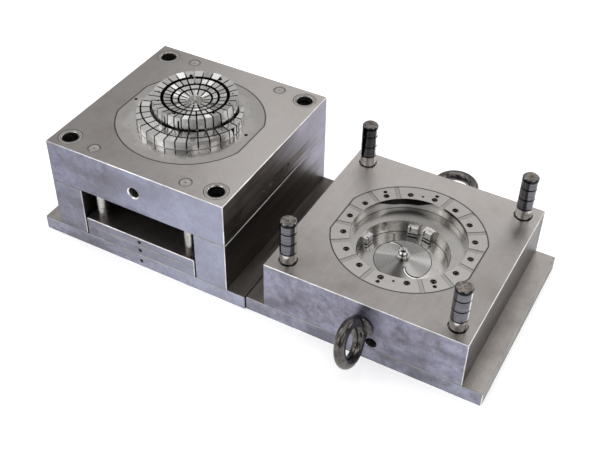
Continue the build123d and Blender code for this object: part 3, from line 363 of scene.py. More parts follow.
def ground_plate(name, top, front, side, grain_seed, joints=(), seams=None, side_reflection=None, fade=None):
    """A ground steel plate: grinding lines along Y on top and sides, clouded ends, stains, fine scratches.

    Its broken edges are worn bright and partly painted as highlights, and dark oil with painted shade
    sits in the joints, whose heights in millimetres are given. Top, front and side are lit and shaded
    copies: the front is tinted bluish by painted light and the side darkened by painted shade. The side
    reflection is a painted reflection that takes over from the side's colour towards the rear and the top.
    The fade is a direction with the two distances in metres between which the top goes from a little
    darker to a little lighter, as painted shade and painted light.
    """
    steel = Finish(name, top, 0.38)
    seed = (0.13 * grain_seed, 0.29 * grain_seed, 0.07 * grain_seed)

    def pattern(scale, detail, roughness, turn=(0, 0, 0), stretch=(1, 1, 1)):
        """A cloud pattern that no other plate has."""
        return steel.noise(steel.at(seed, turn, stretch), scale, detail, roughness)

    lines = pattern(900.0, 3.0, 0.6, stretch=(1.0, 0.018, 1.0))
    broad_lines = pattern(170.0, 2.0, 0.5, stretch=(1.0, 0.03, 1.0))
    streaks = pattern(75.0, 4.0, 0.65, stretch=(1.0, 0.06, 1.0))
    clouds = pattern(17.0, 5.0, 0.62)
    smudges = pattern(46.0, 4.0, 0.66, turn=(0.2, 0.5, 0.3))
    smears = pattern(24.0, 3.0, 0.5, turn=(0.0, 0.3, 0.0), stretch=(0.4, 1.0, 1.2))
    mottle = pattern(95.0, 4.0, 0.7, turn=(0.4, 0.1, 0.2))
    specks = pattern(230.0, 3.0, 0.7)
    grit = pattern(420.0, 2.0, 0.6)
    scratches = pattern(640.0, 0.0, 0.5, turn=(0.0, 0.0, 0.55), stretch=(1.0, 0.012, 1.0))

    along_x, along_y, up = steel.facing()
    is_end = steel.remap(along_y, 0.6, 0.9)
    is_side = steel.remap(along_x, 0.6, 0.9)
    is_top = steel.remap(up, 0.9, 0.97)
    x, y, z = steel.parts(steel.at())
    # Lit and shaded copies: the front tinted bluish by painted light, the side darkened by painted shade.
    steel.paint(front, is_end)
    steel.paint(side, is_side)
    steel.paint((0.19, 0.165, 0.145), steel.remap(clouds, 0.42, 0.72, 0.0, 0.4))
    steel.paint((0.12, 0.12, 0.135), steel.remap(smudges, 0.5, 0.74, 0.0, 0.8),
                steel.remap(is_end, 0.0, 1.0, 0.18, 1.0))
    steel.paint((0.62, 0.6, 0.58), steel.remap(broad_lines, 0.5, 0.8, 0.0, 0.1))
    steel.paint((0.125, 0.12, 0.135), steel.remap(smears, 0.47, 0.66, 0.0, 0.62), is_end)
    steel.paint((0.14, 0.14, 0.175), steel.remap(mottle, 0.35, 0.7),
                steel.remap(is_end, 0.0, 1.0, 0.12, 0.55))
    steel.paint((0.055, 0.046, 0.041), steel.remap(streaks, 0.42, 0.62), is_side, 0.6)
    # A painted reflection on the side faces, towards the rear and the top.
    if side_reflection is not None:
        sway = steel.times(steel.remap(streaks, 0.3, 0.7, 0.04, -0.04),
                           steel.remap(z, 0.085, 0.092, 0.2, 1.0))
        slant = steel.plus(y, steel.times(z, 0.9), sway)
        steel.paint(side_reflection, is_side, steel.remap(slant, 0.114, 0.172, 0.0, 0.92))
    # Painted shade and painted light across the top: a little darker at one end, a little lighter at the
    # other.
    if fade is not None:
        (fade_x, fade_y), dark_end, light_end = fade
        place = steel.plus(steel.times(x, fade_x), steel.times(y, fade_y))
        steel.paint((0.2, 0.185, 0.172), is_top, steel.remap(place, dark_end, light_end, 0.3, 0.0))
        steel.paint((0.66, 0.62, 0.59), is_top, steel.remap(place, dark_end, light_end, 0.0, 0.5))
    steel.paint((0.1, 0.098, 0.1), steel.remap(specks, 0.6, 0.72, 0.0, 0.5),
                steel.remap(is_end, 0.0, 1.0, 0.25, 1.0))
    # A painted bluish sheen on the core half's fronts, growing from the left towards the middle.
    steel.paint((0.58, 0.6, 0.76), is_end, steel.remap(x, -0.26, -0.02),
                steel.remap(x, -0.004, 0.0, 1.0, 0.0), 0.34)
    # Edges worn bright and partly painted as highlights, weaker towards the left.
    on_edge = steel.remap(steel.most(along_x, along_y, up), 0.8, 0.95, 1.0, 0.0)
    steel.paint(BARE_AND_HIGHLIGHT_WHITE, on_edge, steel.remap(smudges, 0.35, 0.65, 1.0, 0.5),
                steel.remap(x, -0.27, -0.17, 0.35, 1.0))
    steel.rough = steel.plus(steel.remap(lines, 0.3, 0.7, 0.34, 0.43),
                             steel.remap(clouds, 0.35, 0.7, -0.05, 0.09))
    steel.roughen(is_end, 0.09)
    steel.rough = steel.minus(steel.rough, steel.times(steel.remap(scratches, 0.74, 0.8), 0.1))
    upright = steel.times(steel.remap(up, 0.9, 0.97, 1.0, 0.0), steel.remap(smudges, 0.35, 0.6, 1.0, 0.6))
    # Oil and painted shade in the joints between the plates.
    for joint in joints:
        oil_and_shade(steel, steel.away(z, joint * MM), 1.3 * MM, upright)
    if seams is not None:
        seams(steel)
    return steel.done((lines, 0.22, 0.06 * MM), (grit, 0.25, 0.04 * MM), (clouds, 0.12, 0.6 * MM))


def from_insert_edge(steel, centre):
    """Distance in metres from the outline that both inserts share: a disc with two flats."""
    reach, x, _ = steel.reach(centre)
    from_flat = steel.minus(steel.calc("ABSOLUTE", x), INSERT_HALF_WIDTH)
    return steel.calc("ABSOLUTE", steel.most(steel.minus(reach, INSERT_RADIUS), from_flat))


def oil_and_shade(steel, distance, width, on_face):
    """Dark oil and painted shade in a seam, as wide as given."""
    share = steel.times(steel.remap(distance, 0.0, width, 0.92, 0.0), on_face)
    steel.paint(OIL_AND_SHADE, share)
    steel.roughen(share, 0.25)


def near_face(steel, height):
    """One at the parting face, and zero from 0.6 mm under it."""
    return steel.remap(steel.height(), height - 0.6 * MM, height - 0.4 * MM)


def core_seams(steel):
    """The seams in the core plate's face: round the insert, the bushes and the return pins."""
    face = near_face(steel, PARTING_CORE)
    oil_and_shade(steel, from_insert_edge(steel, CORE_MIDDLE), 1.8 * MM, face)
    for place, radius in ((RETURN_PIN_PLACE, RETURN_PIN_EDGE), (BUSH_PLACE, BUSH_EDGE)):
        oil_and_shade(steel, steel.away(steel.corner_reach(CORE_MIDDLE, *place), radius), 0.9 * MM, face)


def cavity_seams(steel):
    """The seam in the cavity plate's face, round the insert."""
    oil_and_shade(steel, from_insert_edge(steel, CAVITY_MIDDLE), 1.8 * MM, near_face(steel, PARTING_CAVITY))


def gap_shade(steel):
    """Painted shadow of the two halves on the clamp plates' tops between them, brown and streaked, and the
    black joint in it.
    """
    x, y, _ = steel.parts(steel.at())
    up = steel.remap(steel.facing()[2], 0.9, 0.97)
    drag = steel.noise(steel.at(stretch=(1.0, 0.05, 1.0)), 160.0, 4.0, 0.65)
    left = steel.times(steel.remap(x, -0.03, -0.026), steel.remap(x, 0.0, 0.0006, 1.0, 0.0),
                       steel.remap(y, -0.16, -0.06, 0.62, 0.88))
    right = steel.times(steel.remap(x, 0.0, 0.0006), steel.remap(x, 0.026, 0.03, 1.0, 0.0),
                        steel.remap(y, -0.02, 0.14, 0.75, 0.1))
    # Painted shadow of the halves, brown and streaked.
    steel.paint((0.085, 0.07, 0.06), steel.plus(left, right), steel.remap(drag, 0.35, 0.7, 1.0, 0.75), up)
    steel.paint(OIL_AND_SHADE, steel.line(x, 0.0, 1.4 * MM, 0.95))


def wall_sheen(steel, angle, on_wall):
    """The walls that face the front get a painted white reflection, and those right of them are painted
    darker brown.

    Gives the share of the painted white that isn't bare metal.
    """
    turn = steel.times(angle, DEGREES)
    # Painted darker brown on the walls right of those that face the front.
    brown = steel.times(steel.remap(turn, -54.0, -44.0), steel.remap(turn, -20.0, -28.0))
    steel.paint((0.24, 0.215, 0.2), brown, on_wall, 0.45)
    # A painted white reflection on the walls that face the front, and on a strip further right.
    front = steel.times(steel.remap(turn, -122.0, -106.0), steel.remap(turn, -40.0, -76.0))
    edge = steel.times(steel.remap(turn, -22.0, -14.0), steel.remap(turn, 0.0, -6.0))
    white = steel.times(steel.most(front, edge), on_wall)
    steel.paint((0.97, 0.965, 0.96), white)
    return steel.times(white, 0.5)


def block_variation(steel):
    """Each block between the ribs is polished by hand: gives its own shade, its polish and its slight tilt.

    The block's number comes from the ribs' rule: they start on the upper tier's wall at even angles, seen
    from a point between the two tiers' axes. So the direction from the upper axis is carried out to the
    wall's radius, and its angle is taken again from that point and cut into 30 steps.
    """
    reach, x, y = steel.reach(UPPER_CORE_MIDDLE)
    out = steel.times(steel.calc("DIVIDE", x, reach), UPPER_TIER_RADIUS)
    along = steel.plus(steel.times(steel.calc("DIVIDE", y, reach), UPPER_TIER_RADIUS), RIB_SPREAD_SHIFT)
    turn = steel.plus(steel.calc("ARCTAN2", along, out), RIB_PHASE)
    number = steel.calc("FLOOR", steel.calc("DIVIDE", turn, RIB_STEP))
    ring = 0.0
    for groove in (20.7, 29.1, 40.8, 54.8, 68.0):
        ring = steel.plus(ring, steel.calc("GREATER_THAN", reach, groove * MM))
    shade, color = steel.random(steel.join(number, ring, 3.0))
    red, green, polish = steel.parts(color)
    tilt = steel.plus(steel.times(x, steel.remap(red, 0.0, 1.0, -0.05, 0.05)),
                      steel.times(y, steel.remap(green, 0.0, 1.0, -0.05, 0.05)))
    return shade, polish, tilt


def polished_flange():
    """The core insert: polished round the core, dulled towards its seam, with dark spark-eroded slots that
    are also painted black for their shade, tier walls painted lighter with painted white reflections and
    darker brown, and a painted shade line along the walls' foot.
    """
    steel = Finish("polished_core_steel", (0.6, 0.58, 0.56), 0.2)
    reach, x, y = steel.reach(CORE_MIDDLE)
    height, up = steel.height(), steel.facing()[2]
    angle = steel.calc("ARCTAN2", y, x)
    laps = steel.noise(steel.join(steel.times(reach, 900.0), steel.times(angle, 2.5)), 1.0, 2.0)
    clouds = steel.noise(steel.at(CORE_MIDDLE), 60.0, 3.0, 0.6)
    edge = steel.plus(reach, steel.remap(clouds, 0.3, 0.7, -6 * MM, 6 * MM))
    steel.rough = steel.plus(steel.remap(edge, 72 * MM, 87 * MM, 0.14, 0.34),
                             steel.remap(laps, 0.35, 0.7, 0.0, 0.07))
    steel.color = steel.mix(steel.remap(edge, 70 * MM, 88 * MM), (0.42, 0.405, 0.39), (0.38, 0.36, 0.345))
    steel.paint((0.26, 0.245, 0.23), steel.remap(clouds, 0.5, 0.75, 0.0, 0.25))
    oil_and_shade(steel, from_insert_edge(steel, CORE_MIDDLE), 1.2 * MM, near_face(steel, PARTING_CORE))
    flange_color = steel.color

    shade, _, tilt = block_variation(steel)
    steel.color = steel.mix(shade, (0.4, 0.39, 0.378), (0.68, 0.67, 0.655))
    # The tier's walls painted lighter, as a painted sheen.
    steel.paint((0.92, 0.91, 0.9), steel.remap(up, 0.4, 0.6, 0.85, 0.0))
    white = wall_sheen(steel, angle, steel.remap(up, 0.5, 0.8, 1.0, 0.0))
    # A painted shade line along the foot of the tier's wall.
    steel.paint((0.05, 0.048, 0.046),
                steel.remap(height, PARTING_CORE + 0.3 * MM, PARTING_CORE + 0.9 * MM, 0.85, 0.0))
    on_tier = steel.remap(height, PARTING_CORE + 0.1 * MM, PARTING_CORE + 0.3 * MM)
    steel.color = steel.mix(on_tier, flange_color, steel.color)
    steel.roughen(on_tier, 0.03)
    # Spark-eroded slots, painted black for their shade too.
    slot = steel.times(steel.remap(reach, 65.1 * MM, 65.4 * MM, 1.0, 0.0),
                       steel.remap(height, PARTING_CORE + 0.5 * MM, PARTING_CORE + 1.4 * MM),
                       steel.remap(height, LOWER_TIER_TOP - 0.6 * MM, LOWER_TIER_TOP - 0.2 * MM, 1.0, 0.0))
    steel.paint(RECESS_SHADE, slot)
    steel.roughen(slot, 0.4)
    steel.white_sheen(steel.times(white, steel.minus(on_tier, steel.times(on_tier, slot))))
    return steel.done((laps, 0.1, 0.05 * MM), (clouds, 0.12, 0.3 * MM),
                      (steel.times(on_tier, tilt), 1.0, 1.0))


def polished_blocks():
    """The upper tier: bright hand-polished blocks, a few painted white as highlights, walls painted lighter
    with painted white reflections and darker brown, over dark spark-eroded slots and ring grooves that are
    painted black for their shade.
    """
    steel = Finish("polished_upper_core_steel", (0.66, 0.65, 0.63), 0.18)
    reach, x, y = steel.reach(UPPER_CORE_MIDDLE)
    height, up = steel.height(), steel.facing()[2]
    shade, polish, tilt = block_variation(steel)
    steel.color = steel.mix(shade, (0.3, 0.29, 0.28), (0.66, 0.65, 0.635))
    # A few blocks, picked at random, painted white as highlights, and the walls painted lighter as a sheen.
    steel.paint((0.97, 0.96, 0.95), steel.remap(shade, 0.8, 0.82))
    steel.paint((0.9, 0.89, 0.88), steel.remap(up, 0.4, 0.6, 0.8, 0.0))
    on_wall = steel.times(steel.remap(up, 0.5, 0.8, 1.0, 0.0),
                          steel.remap(height, LOWER_TIER_TOP + 2 * MM, LOWER_TIER_TOP + 4 * MM))
    white = wall_sheen(steel, steel.calc("ARCTAN2", y, x), on_wall)
    strokes = steel.noise(steel.at(UPPER_CORE_MIDDLE, turn=(0.0, 0.3, 0.6)), 150.0, 3.0, 0.6)
    steel.rough = steel.plus(steel.remap(polish, 0.0, 1.0, 0.16, 0.34),
                             steel.remap(strokes, 0.35, 0.7, 0.0, 0.06))
    block_tops = steel.plus(steel.times(steel.minus(reach, 52.8 * MM), DISH_SLOPE),
                            PARTING_CORE + UPPER_TIER_HEIGHT - 0.4 * MM)
    under = steel.calc("LESS_THAN", height, block_tops)
    for groove, half_width in RING_GROOVES:
        under = steel.most(under, steel.calc("LESS_THAN", steel.away(reach, groove), half_width))
    slot = steel.times(under, steel.remap(reach, 51.5 * MM, 51.9 * MM, 1.0, 0.0),
                       steel.remap(reach, 9.8 * MM, 10.2 * MM))
    steel.white_sheen(steel.times(white, steel.minus(1.0, slot)))
    # The slots and ring grooves painted black for their shade.
    steel.paint((0.018, 0.017, 0.016), slot)
    steel.roughen(slot, 0.4)
    return steel.done((strokes, 0.35, 0.4 * MM), (tilt, 1.0, 1.0))


def ground_rim(steel, reach, turn, height, clouds):
    """The rim's colour: sunk vents with dark outlines, none by the two air holes, and a scribed circle."""
    in_vent = steel.remap(height, PARTING_CAVITY - 0.3 * MM, PARTING_CAVITY - 0.2 * MM, 1.0, 0.0)
    color = steel.mix(in_vent, (0.42, 0.4, 0.384), (0.34, 0.322, 0.308))
    step = steel.minus(steel.calc("DIVIDE", turn, RIM_STEP), 0.5)
    from_vent = steel.calc("ABSOLUTE", steel.minus(step, steel.calc("ROUND", step)))
    aside = steel.times(from_vent, reach, math.radians(RIM_STEP))
    outline = steel.times(steel.line(aside, 2.5 * MM, 0.6 * MM, 0.75),
                          steel.remap(reach, CAVITY_EDGE, CAVITY_EDGE + 0.2 * MM))
    for air_hole in RIM_AIR_HOLES:
        outline = steel.times(outline, steel.calc("GREATER_THAN", steel.away(turn, air_hole), 11.0))
    color = steel.mix(outline, color, (0.1, 0.095, 0.09))
    scribed = steel.times(steel.line(reach, 80.6 * MM, 0.4 * MM, 0.45), steel.remap(clouds, 0.4, 0.6))
    return steel.mix(scribed, color, (0.12, 0.115, 0.11))


def mirror_cavity():
    """The cavity insert: mirror-polished walls with painted reflections, a band of painted shade under the
    rim, painted shade lines at the wall's steps and foot, a satin floor and a ground rim.
    """
    steel = Finish("polished_cavity_steel", (0.66, 0.64, 0.62), 0.2)
    reach, x, y = steel.reach(CAVITY_MIDDLE)
    height, up = steel.height(), steel.facing()[2]
    angle = steel.calc("ARCTAN2", y, x)
    turn = steel.times(angle, DEGREES)
    sunk = steel.minus(PARTING_CAVITY, height)
    flat = steel.remap(up, 0.7, 0.9)
    wall = steel.minus(1.0, flat)
    on_rim = steel.remap(height, PARTING_CAVITY - 0.8 * MM, PARTING_CAVITY - 0.6 * MM)
    turned_lines = steel.noise(steel.join(steel.times(reach, 1400.0), angle, steel.times(height, 900.0)),
                               1.0, 2.0)
    clouds = steel.noise(steel.at(CAVITY_MIDDLE), 45.0, 3.0, 0.6)
    steel.color = steel.mix(steel.remap(clouds, 0.35, 0.7), (0.66, 0.645, 0.62), (0.52, 0.505, 0.485))
    steel.paint((0.34, 0.325, 0.31), flat, 0.75)
    steel.paint(ground_rim(steel, reach, turn, height, clouds), on_rim)

    # A band of painted shade under the rim, broad at the rear left and narrow at the rear right, and a
    # painted highlight streak between them.
    broad = steel.times(steel.remap(turn, 156.0, 126.0, 0.0, 8.8 * MM), steel.remap(turn, 84.0, 106.0))
    narrow = steel.times(steel.remap(turn, 79.0, 74.0, 0.0, 3.4 * MM),
                         steel.remap(turn, 28.0, 45.0, 0.3, 1.0))
    band_depth = steel.plus(steel.times(broad, steel.remap(turn, 84.0, 85.0)), narrow)
    band = steel.times(steel.remap(steel.minus(band_depth, sunk), -0.3 * MM, 0.5 * MM),
                       steel.remap(sunk, 0.3 * MM, 0.6 * MM, 0.0, 0.96))
    steel.paint((0.92, 0.91, 0.89), steel.remap(turn, 93.0, 89.0), steel.remap(turn, 76.0, 80.0), wall)
    # A painted white reflection on the upper rear walls.
    wall_reflection = steel.times(steel.remap(turn, 80.0, 94.0), steel.remap(turn, 178.0, 160.0), wall,
                         steel.remap(sunk, 0.4 * MM, 3 * MM, 0.0, 0.5),
                         steel.minus(steel.remap(reach, 66 * MM, 68 * MM), band))
    wall_reflection = steel.most(wall_reflection, 0.0)
    steel.paint(BARE_AND_HIGHLIGHT_WHITE, wall_reflection)
    steel.white_sheen(wall_reflection)
    steel.paint((0.15, 0.142, 0.135), steel.remap(turn, 40.0, 70.0), steel.remap(turn, 150.0, 120.0), flat,
                steel.remap(reach, CAVITY_EDGE, CAVITY_EDGE - 0.2 * MM), 0.5)
    steel.paint((0.02, 0.02, 0.021), band, wall)
    # Painted shade lines at the wall's steps.
    for depth, width, share in CAVITY_STEPS:
        steel.paint(SHADE_LINE, steel.line(height, PARTING_CAVITY - depth * MM, width * MM, share), wall)
    # A painted shade line at the foot of the lower cavity's wall.
    steel.paint(SHADE_LINE, steel.line(steel.reach(FLOOR_DISC_MIDDLE)[0], LOWER_CAVITY_FOOT, 0.9 * MM, 0.85),
                steel.remap(height, PARTING_CAVITY - 30 * MM, PARTING_CAVITY - 28 * MM, 1.0, 0.0))
    steel.rough = steel.plus(steel.remap(turned_lines, 0.3, 0.7, 0.15, 0.22), steel.times(on_rim, 0.2),
                             steel.times(flat, 0.06))
    oil_and_shade(steel, from_insert_edge(steel, CAVITY_MIDDLE), 1.1 * MM, near_face(steel, PARTING_CAVITY))
    return steel.done((turned_lines, 0.12, 0.04 * MM), (clouds, 0.14, 0.6 * MM))


def bright_block(name, turn):
    """A clip block at an angle of the lower cavity: bright ground faces partly painted as highlights, tops
    painted darker, and painted black shade in its groove and undercut.
    """
    steel = Finish(name, (0.8, 0.79, 0.77), 0.3)
    x, y, _ = steel.parts(steel.at(FLOOR_DISC_MIDDLE))
    along_x, along_y = math.cos(math.radians(turn)), math.sin(math.radians(turn))
    out = steel.plus(steel.times(x, along_x), steel.times(y, along_y))
    across = steel.minus(steel.times(y, along_x), steel.times(x, along_y))
    strokes = steel.noise(steel.at(turn=(0.3, 0.2, 0.6)), 260.0, 3.0, 0.6)
    # Bright faces, partly painted as highlights, with the tops painted darker.
    steel.color = steel.mix(steel.remap(strokes, 0.35, 0.7), (0.92, 0.91, 0.89), (0.66, 0.65, 0.63))
    steel.paint((0.4, 0.385, 0.37), steel.remap(steel.facing()[2], 0.9, 0.97, 0.0, 0.5))
    # Painted black shade in the groove and the undercut.
    steel.paint((0.012, 0.012, 0.012), steel.remap(out, 48.2 * MM, 48.5 * MM),
                steel.remap(steel.calc("ABSOLUTE", across), 6.1 * MM, 5.9 * MM),
                steel.remap(steel.height(), 67.9 * MM, 67.7 * MM))
    steel.rough = steel.remap(strokes, 0.3, 0.7, 0.24, 0.36)
    return steel.done((strokes, 0.2, 0.2 * MM))


def turned_disc():
    """The floor disc: fine turning lines that spread the light, two sectors painted bright as highlights,
    front sectors painted dark as shade, a painted shade ring round its edge, and a curved runner.

    The runner is what lies under the disc's cone: dark edges, and a bright floor where it is deepest.
    """
    steel = Finish("turned_disc_steel", (0.6, 0.58, 0.56), 0.26)
    steel.shader.inputs["Anisotropic"].default_value = 0.9
    steel.shader.inputs["Anisotropic Rotation"].default_value = 0.25
    round_lines = steel.tree.nodes.new("ShaderNodeTangent")
    round_lines.direction_type = "RADIAL"
    round_lines.axis = "Z"
    steel.put(round_lines.outputs[0], steel.shader.inputs["Tangent"])
    reach, x, y = steel.reach(FLOOR_DISC_MIDDLE)
    lines = steel.noise(steel.join(steel.times(reach, 2200.0)), 1.0, 2.0)
    turn = steel.times(steel.calc("ARCTAN2", y, x), DEGREES)
    steel.color = steel.mix(steel.remap(lines, 0.3, 0.7), (0.3, 0.292, 0.284), (0.36, 0.35, 0.34))
    # Two sectors painted bright as highlights, and the front sectors painted dark as shade.
    left = steel.most(steel.remap(turn, 110.0, 178.0), steel.remap(turn, -168.0, -174.0))
    right = steel.times(steel.remap(turn, 62.0, 50.0), steel.remap(turn, -30.0, 40.0), 0.5)
    steel.paint((0.6, 0.585, 0.565), steel.most(left, right))
    steel.paint((0.04, 0.038, 0.036), steel.remap(turn, -118.0, -88.0), steel.remap(turn, -44.0, -78.0), 0.93)
    steel.paint((0.12, 0.116, 0.112), steel.remap(turn, -165.0, -108.0),
                steel.remap(turn, -84.0, -108.0), 0.5)
    cone = steel.minus(FLOOR_DISC_TOP + FLOOR_DISC_BORE * FLOOR_SLOPE, steel.times(reach, FLOOR_SLOPE))
    sunk = steel.minus(cone, steel.height())
    inside = steel.remap(reach, 33.1 * MM, 32.9 * MM)
    steel.paint((0.03, 0.028, 0.027), steel.remap(sunk, 0.1 * MM, 0.3 * MM), inside)
    steel.paint((0.72, 0.7, 0.68), steel.remap(sunk, 0.9 * MM, 1.3 * MM), inside)
    # A painted shade ring round the disc's edge.
    steel.paint(RECESS_SHADE, steel.remap(reach, 33.7 * MM, 34.1 * MM))
    steel.rough = steel.remap(lines, 0.3, 0.7, 0.24, 0.34)
    return steel.done((lines, 0.15, 0.03 * MM))


def turned_bright(name):
    """Small turned pieces: the sprue bush, the locating ring and the core pin."""
    steel = Finish(name, (0.64, 0.62, 0.6), 0.2)
    lines = steel.noise(steel.at(stretch=(0.1, 0.1, 1.0)), 1500.0, 2.0)
    steel.color = steel.mix(steel.remap(lines, 0.3, 0.7), (0.52, 0.5, 0.48), (0.72, 0.7, 0.68))
    steel.rough = steel.remap(lines, 0.3, 0.7, 0.14, 0.26)
    return steel.done((lines, 0.15, 0.04 * MM))


def hardened_pin(name, place=None, rings=(), dot=0.0):
    """Hardened and ground round bar with fine draw marks.

    The place is how far across and along from the core's middle its four pieces stand. Their faces in the
    parting plane are ground with the plate, and have dark turned rings at the given radii and a centre dot.
    """
    steel = Finish(name, (0.5, 0.48, 0.46), 0.26)
    marks = steel.noise(steel.at(stretch=(1.0, 1.0, 0.05)), 700.0, 3.0, 0.6)
    turned_lines = steel.noise(steel.at(stretch=(0.05, 0.05, 1.0)), 900.0, 2.0, 0.5)
    stains = steel.noise(steel.at(), 120.0, 3.0, 0.6)
    steel.color = steel.mix(steel.remap(marks, 0.35, 0.7), (0.36, 0.345, 0.33), (0.56, 0.54, 0.52))
    steel.paint((0.11, 0.1, 0.09), steel.remap(stains, 0.5, 0.72, 0.0, 0.6))
    steel.rough = steel.plus(steel.remap(turned_lines, 0.3, 0.7, 0.2, 0.32),
                             steel.remap(stains, 0.5, 0.75, 0.0, 0.12))
    if place is not None:
        face = steel.times(near_face(steel, PARTING_CORE), steel.remap(steel.facing()[2], 0.6, 0.9))
        steel.paint(steel.mix(steel.remap(stains, 0.4, 0.7), (0.44, 0.42, 0.4), (0.36, 0.342, 0.326)), face)
        steel.roughen(face, 0.12)
        reach = steel.corner_reach(CORE_MIDDLE, *place)
        for radius in rings:
            steel.paint((0.03, 0.028, 0.026), steel.line(reach, radius, 0.8 * MM, 0.9),
                        steel.remap(stains, 0.3, 0.6, 1.0, 0.6), face)
        if dot:
            # The centre dot painted black for the shade in it.
            steel.paint(RECESS_SHADE, steel.remap(reach, dot, 0.7 * dot), face)
    return steel.done((marks, 0.12, 0.06 * MM))


def guide_pin_chrome(end_height):
    """A polished guide pin: mirror-bright, with a painted highlight down its right side and painted black
    shade in its oil grooves, under its browned, mottled end and at its foot.
    """
    steel = Finish("guide_pin_chrome", (0.5, 0.49, 0.49), 0.2)
    height, up = steel.height(), steel.facing()[2]
    marks = steel.noise(steel.at(stretch=(0.04, 0.04, 1.0)), 900.0, 2.0, 0.5)
    stains = steel.noise(steel.at(), 190.0, 4.0, 0.65)
    steel.color = steel.mix(steel.remap(marks, 0.35, 0.7), (0.16, 0.158, 0.178), (0.1, 0.098, 0.11))
    steel.paint((0.6, 0.585, 0.565), steel.remap(height, PARTING_CAVITY + OIL_GROOVE_PITCH,
                                                 PARTING_CAVITY + OIL_GROOVE_PITCH - 0.6 * MM))
    facing_right = steel.parts(steel.spot.outputs["Normal"])[0]
    # A painted highlight down the side that faces right.
    steel.paint((0.92, 0.9, 0.88), steel.remap(facing_right, 0.94, 0.985, 0.0, 0.85))
    steel.paint((0.12, 0.112, 0.108), steel.remap(stains, 0.52, 0.7, 0.0, 0.5))
    # Painted black shade in the three oil grooves, under the end's chamfer and at the foot.
    lines = [(PARTING_CAVITY + groove * OIL_GROOVE_PITCH, 0.8, 1.2, 1.0) for groove in (1, 2, 3)]
    lines += [(end_height - 2.6 * MM, 1.4, 1.9, 0.96), (PARTING_CAVITY + 0.4 * MM, 0.4, 1.0, 0.95)]
    for middle, full, faded, share in lines:
        steel.paint(PIN_SHADE_BLACK, steel.remap(steel.away(height, middle), full * MM, faded * MM, share, 0.0))
    end = steel.remap(up, 0.85, 0.95)
    steel.paint(steel.mix(steel.remap(stains, 0.4, 0.62), (0.24, 0.215, 0.195), (0.1, 0.088, 0.08)), end)
    steel.rough = steel.plus(steel.remap(marks, 0.3, 0.7, 0.13, 0.22),
                             steel.remap(stains, 0.5, 0.75, 0.0, 0.1))
    steel.roughen(end, 0.2)
    return steel.done((marks, 0.1, 0.04 * MM))


def black_oxide():
    """Blackened cap screws and dowels, rubbed bright in places."""
    steel = Finish("blackened_screw_steel", (0.05, 0.048, 0.046), 0.42)
    rub = steel.noise(steel.at(), 650.0, 3.0, 0.6)
    steel.color = steel.mix(steel.remap(rub, 0.5, 0.75), (0.035, 0.033, 0.031), (0.3, 0.29, 0.28))
    steel.rough = steel.remap(rub, 0.3, 0.7, 0.5, 0.32)
    return steel.done((rub, 0.3, 0.1 * MM))


def forged_steel():
    """Forged eye bolts: dark scale with a worn sheen and a fine pitted skin."""
    steel = Finish("forged_eye_steel", (0.2, 0.18, 0.16), 0.3)
    scale = steel.noise(steel.at(), 130.0, 5.0, 0.62)
    pits = steel.noise(steel.at(), 620.0, 3.0, 0.6)
    steel.color = steel.mix(steel.remap(scale, 0.35, 0.7), (0.075, 0.069, 0.066), (0.15, 0.139, 0.132))
    steel.rough = steel.plus(steel.remap(scale, 0.35, 0.7, 0.22, 0.15),
                             steel.remap(pits, 0.4, 0.7, 0.0, 0.05))
    return steel.done((pits, 0.16, 0.15 * MM), (scale, 0.05, 0.5 * MM))


def dress(material, *names):
    """Gives solids their finish."""
    for name in names:
        mesh = nodes[name].data
        mesh.materials.clear()
        mesh.materials.append(material)
        mesh.polygons.foreach_set("material_index", np.zeros(len(mesh.polygons), np.int32))


# Added pieces.


def surface(name, points, rows_closed=True):
    """A mesh from a grid of points: each row is a closed ring, and the last row may join the first."""
    rows, columns = points.shape[:2]
    r, c = np.meshgrid(np.arange(rows if rows_closed else rows - 1), np.arange(columns), indexing="ij")
    r2, c2 = (r + 1) % rows, (c + 1) % columns
    faces = np.stack([r * columns + c, r2 * columns + c, r2 * columns + c2, r * columns + c2], -1)
    mesh = bpy.data.meshes.new(name)
    mesh.from_pydata(points.reshape(-1, 3).tolist(), [], faces.reshape(-1, 4).tolist())
    mesh.polygons.foreach_set("use_smooth", np.ones(len(mesh.polygons), bool))
    return mesh


def turned(profile):
    """A profile of radius and height turned about the upright axis: (r cos t, r sin t, h) at angle t."""
    turn = np.linspace(0, 2 * np.pi, 64, endpoint=False)
    radius, height = profile[:, 0][:, None], profile[:, 1][:, None]
    return np.stack([radius * np.cos(turn), radius * np.sin(turn), height + 0 * turn], -1)


def weld(mesh):
    """Merges points that lie on one another, and turns the faces outwards."""
    work = bmesh.new()
    work.from_mesh(mesh)
    bmesh.ops.remove_doubles(work, verts=work.verts, dist=0.001 * MM)
    bmesh.ops.recalc_face_normals(work, faces=work.faces)
    work.to_mesh(mesh)
    work.free()


def placed(points, origin, x_axis, y_axis, z_axis):
    """Points of a local frame carried to the mould's frame: origin plus each part times its axis."""
    return np.asarray(origin) + points @ np.array([x_axis, y_axis, z_axis], float)


def eye_ring(centre, out, across):
    """The forged ring of an eye bolt.

    A tube of 6.8 mm radius along a circle of 23 mm: the centre line at angle t is 23 (cos t, sin t), and the
    tube's radius swells by up to 1.6 mm towards the neck, as exp(-(t / 0.55) squared), with t counted from
    the neck.
    """
    circle, thickness, swell, spread = 23.0, 6.8, 1.6, 0.55
    t, s = np.meshgrid(np.linspace(0, 2 * np.pi, 96, endpoint=False),
                       np.linspace(0, 2 * np.pi, 32, endpoint=False), indexing="ij")
    from_neck = np.abs((t + np.pi) % (2 * np.pi) - np.pi)
    tube = thickness + swell * np.exp(-(from_neck / spread) ** 2)
    reach = circle + tube * np.cos(s)
    points = np.stack([-reach * np.cos(t), reach * np.sin(t), tube * np.sin(s)], -1) * MM
    return placed(points, centre, out, np.cross(across, out), across)


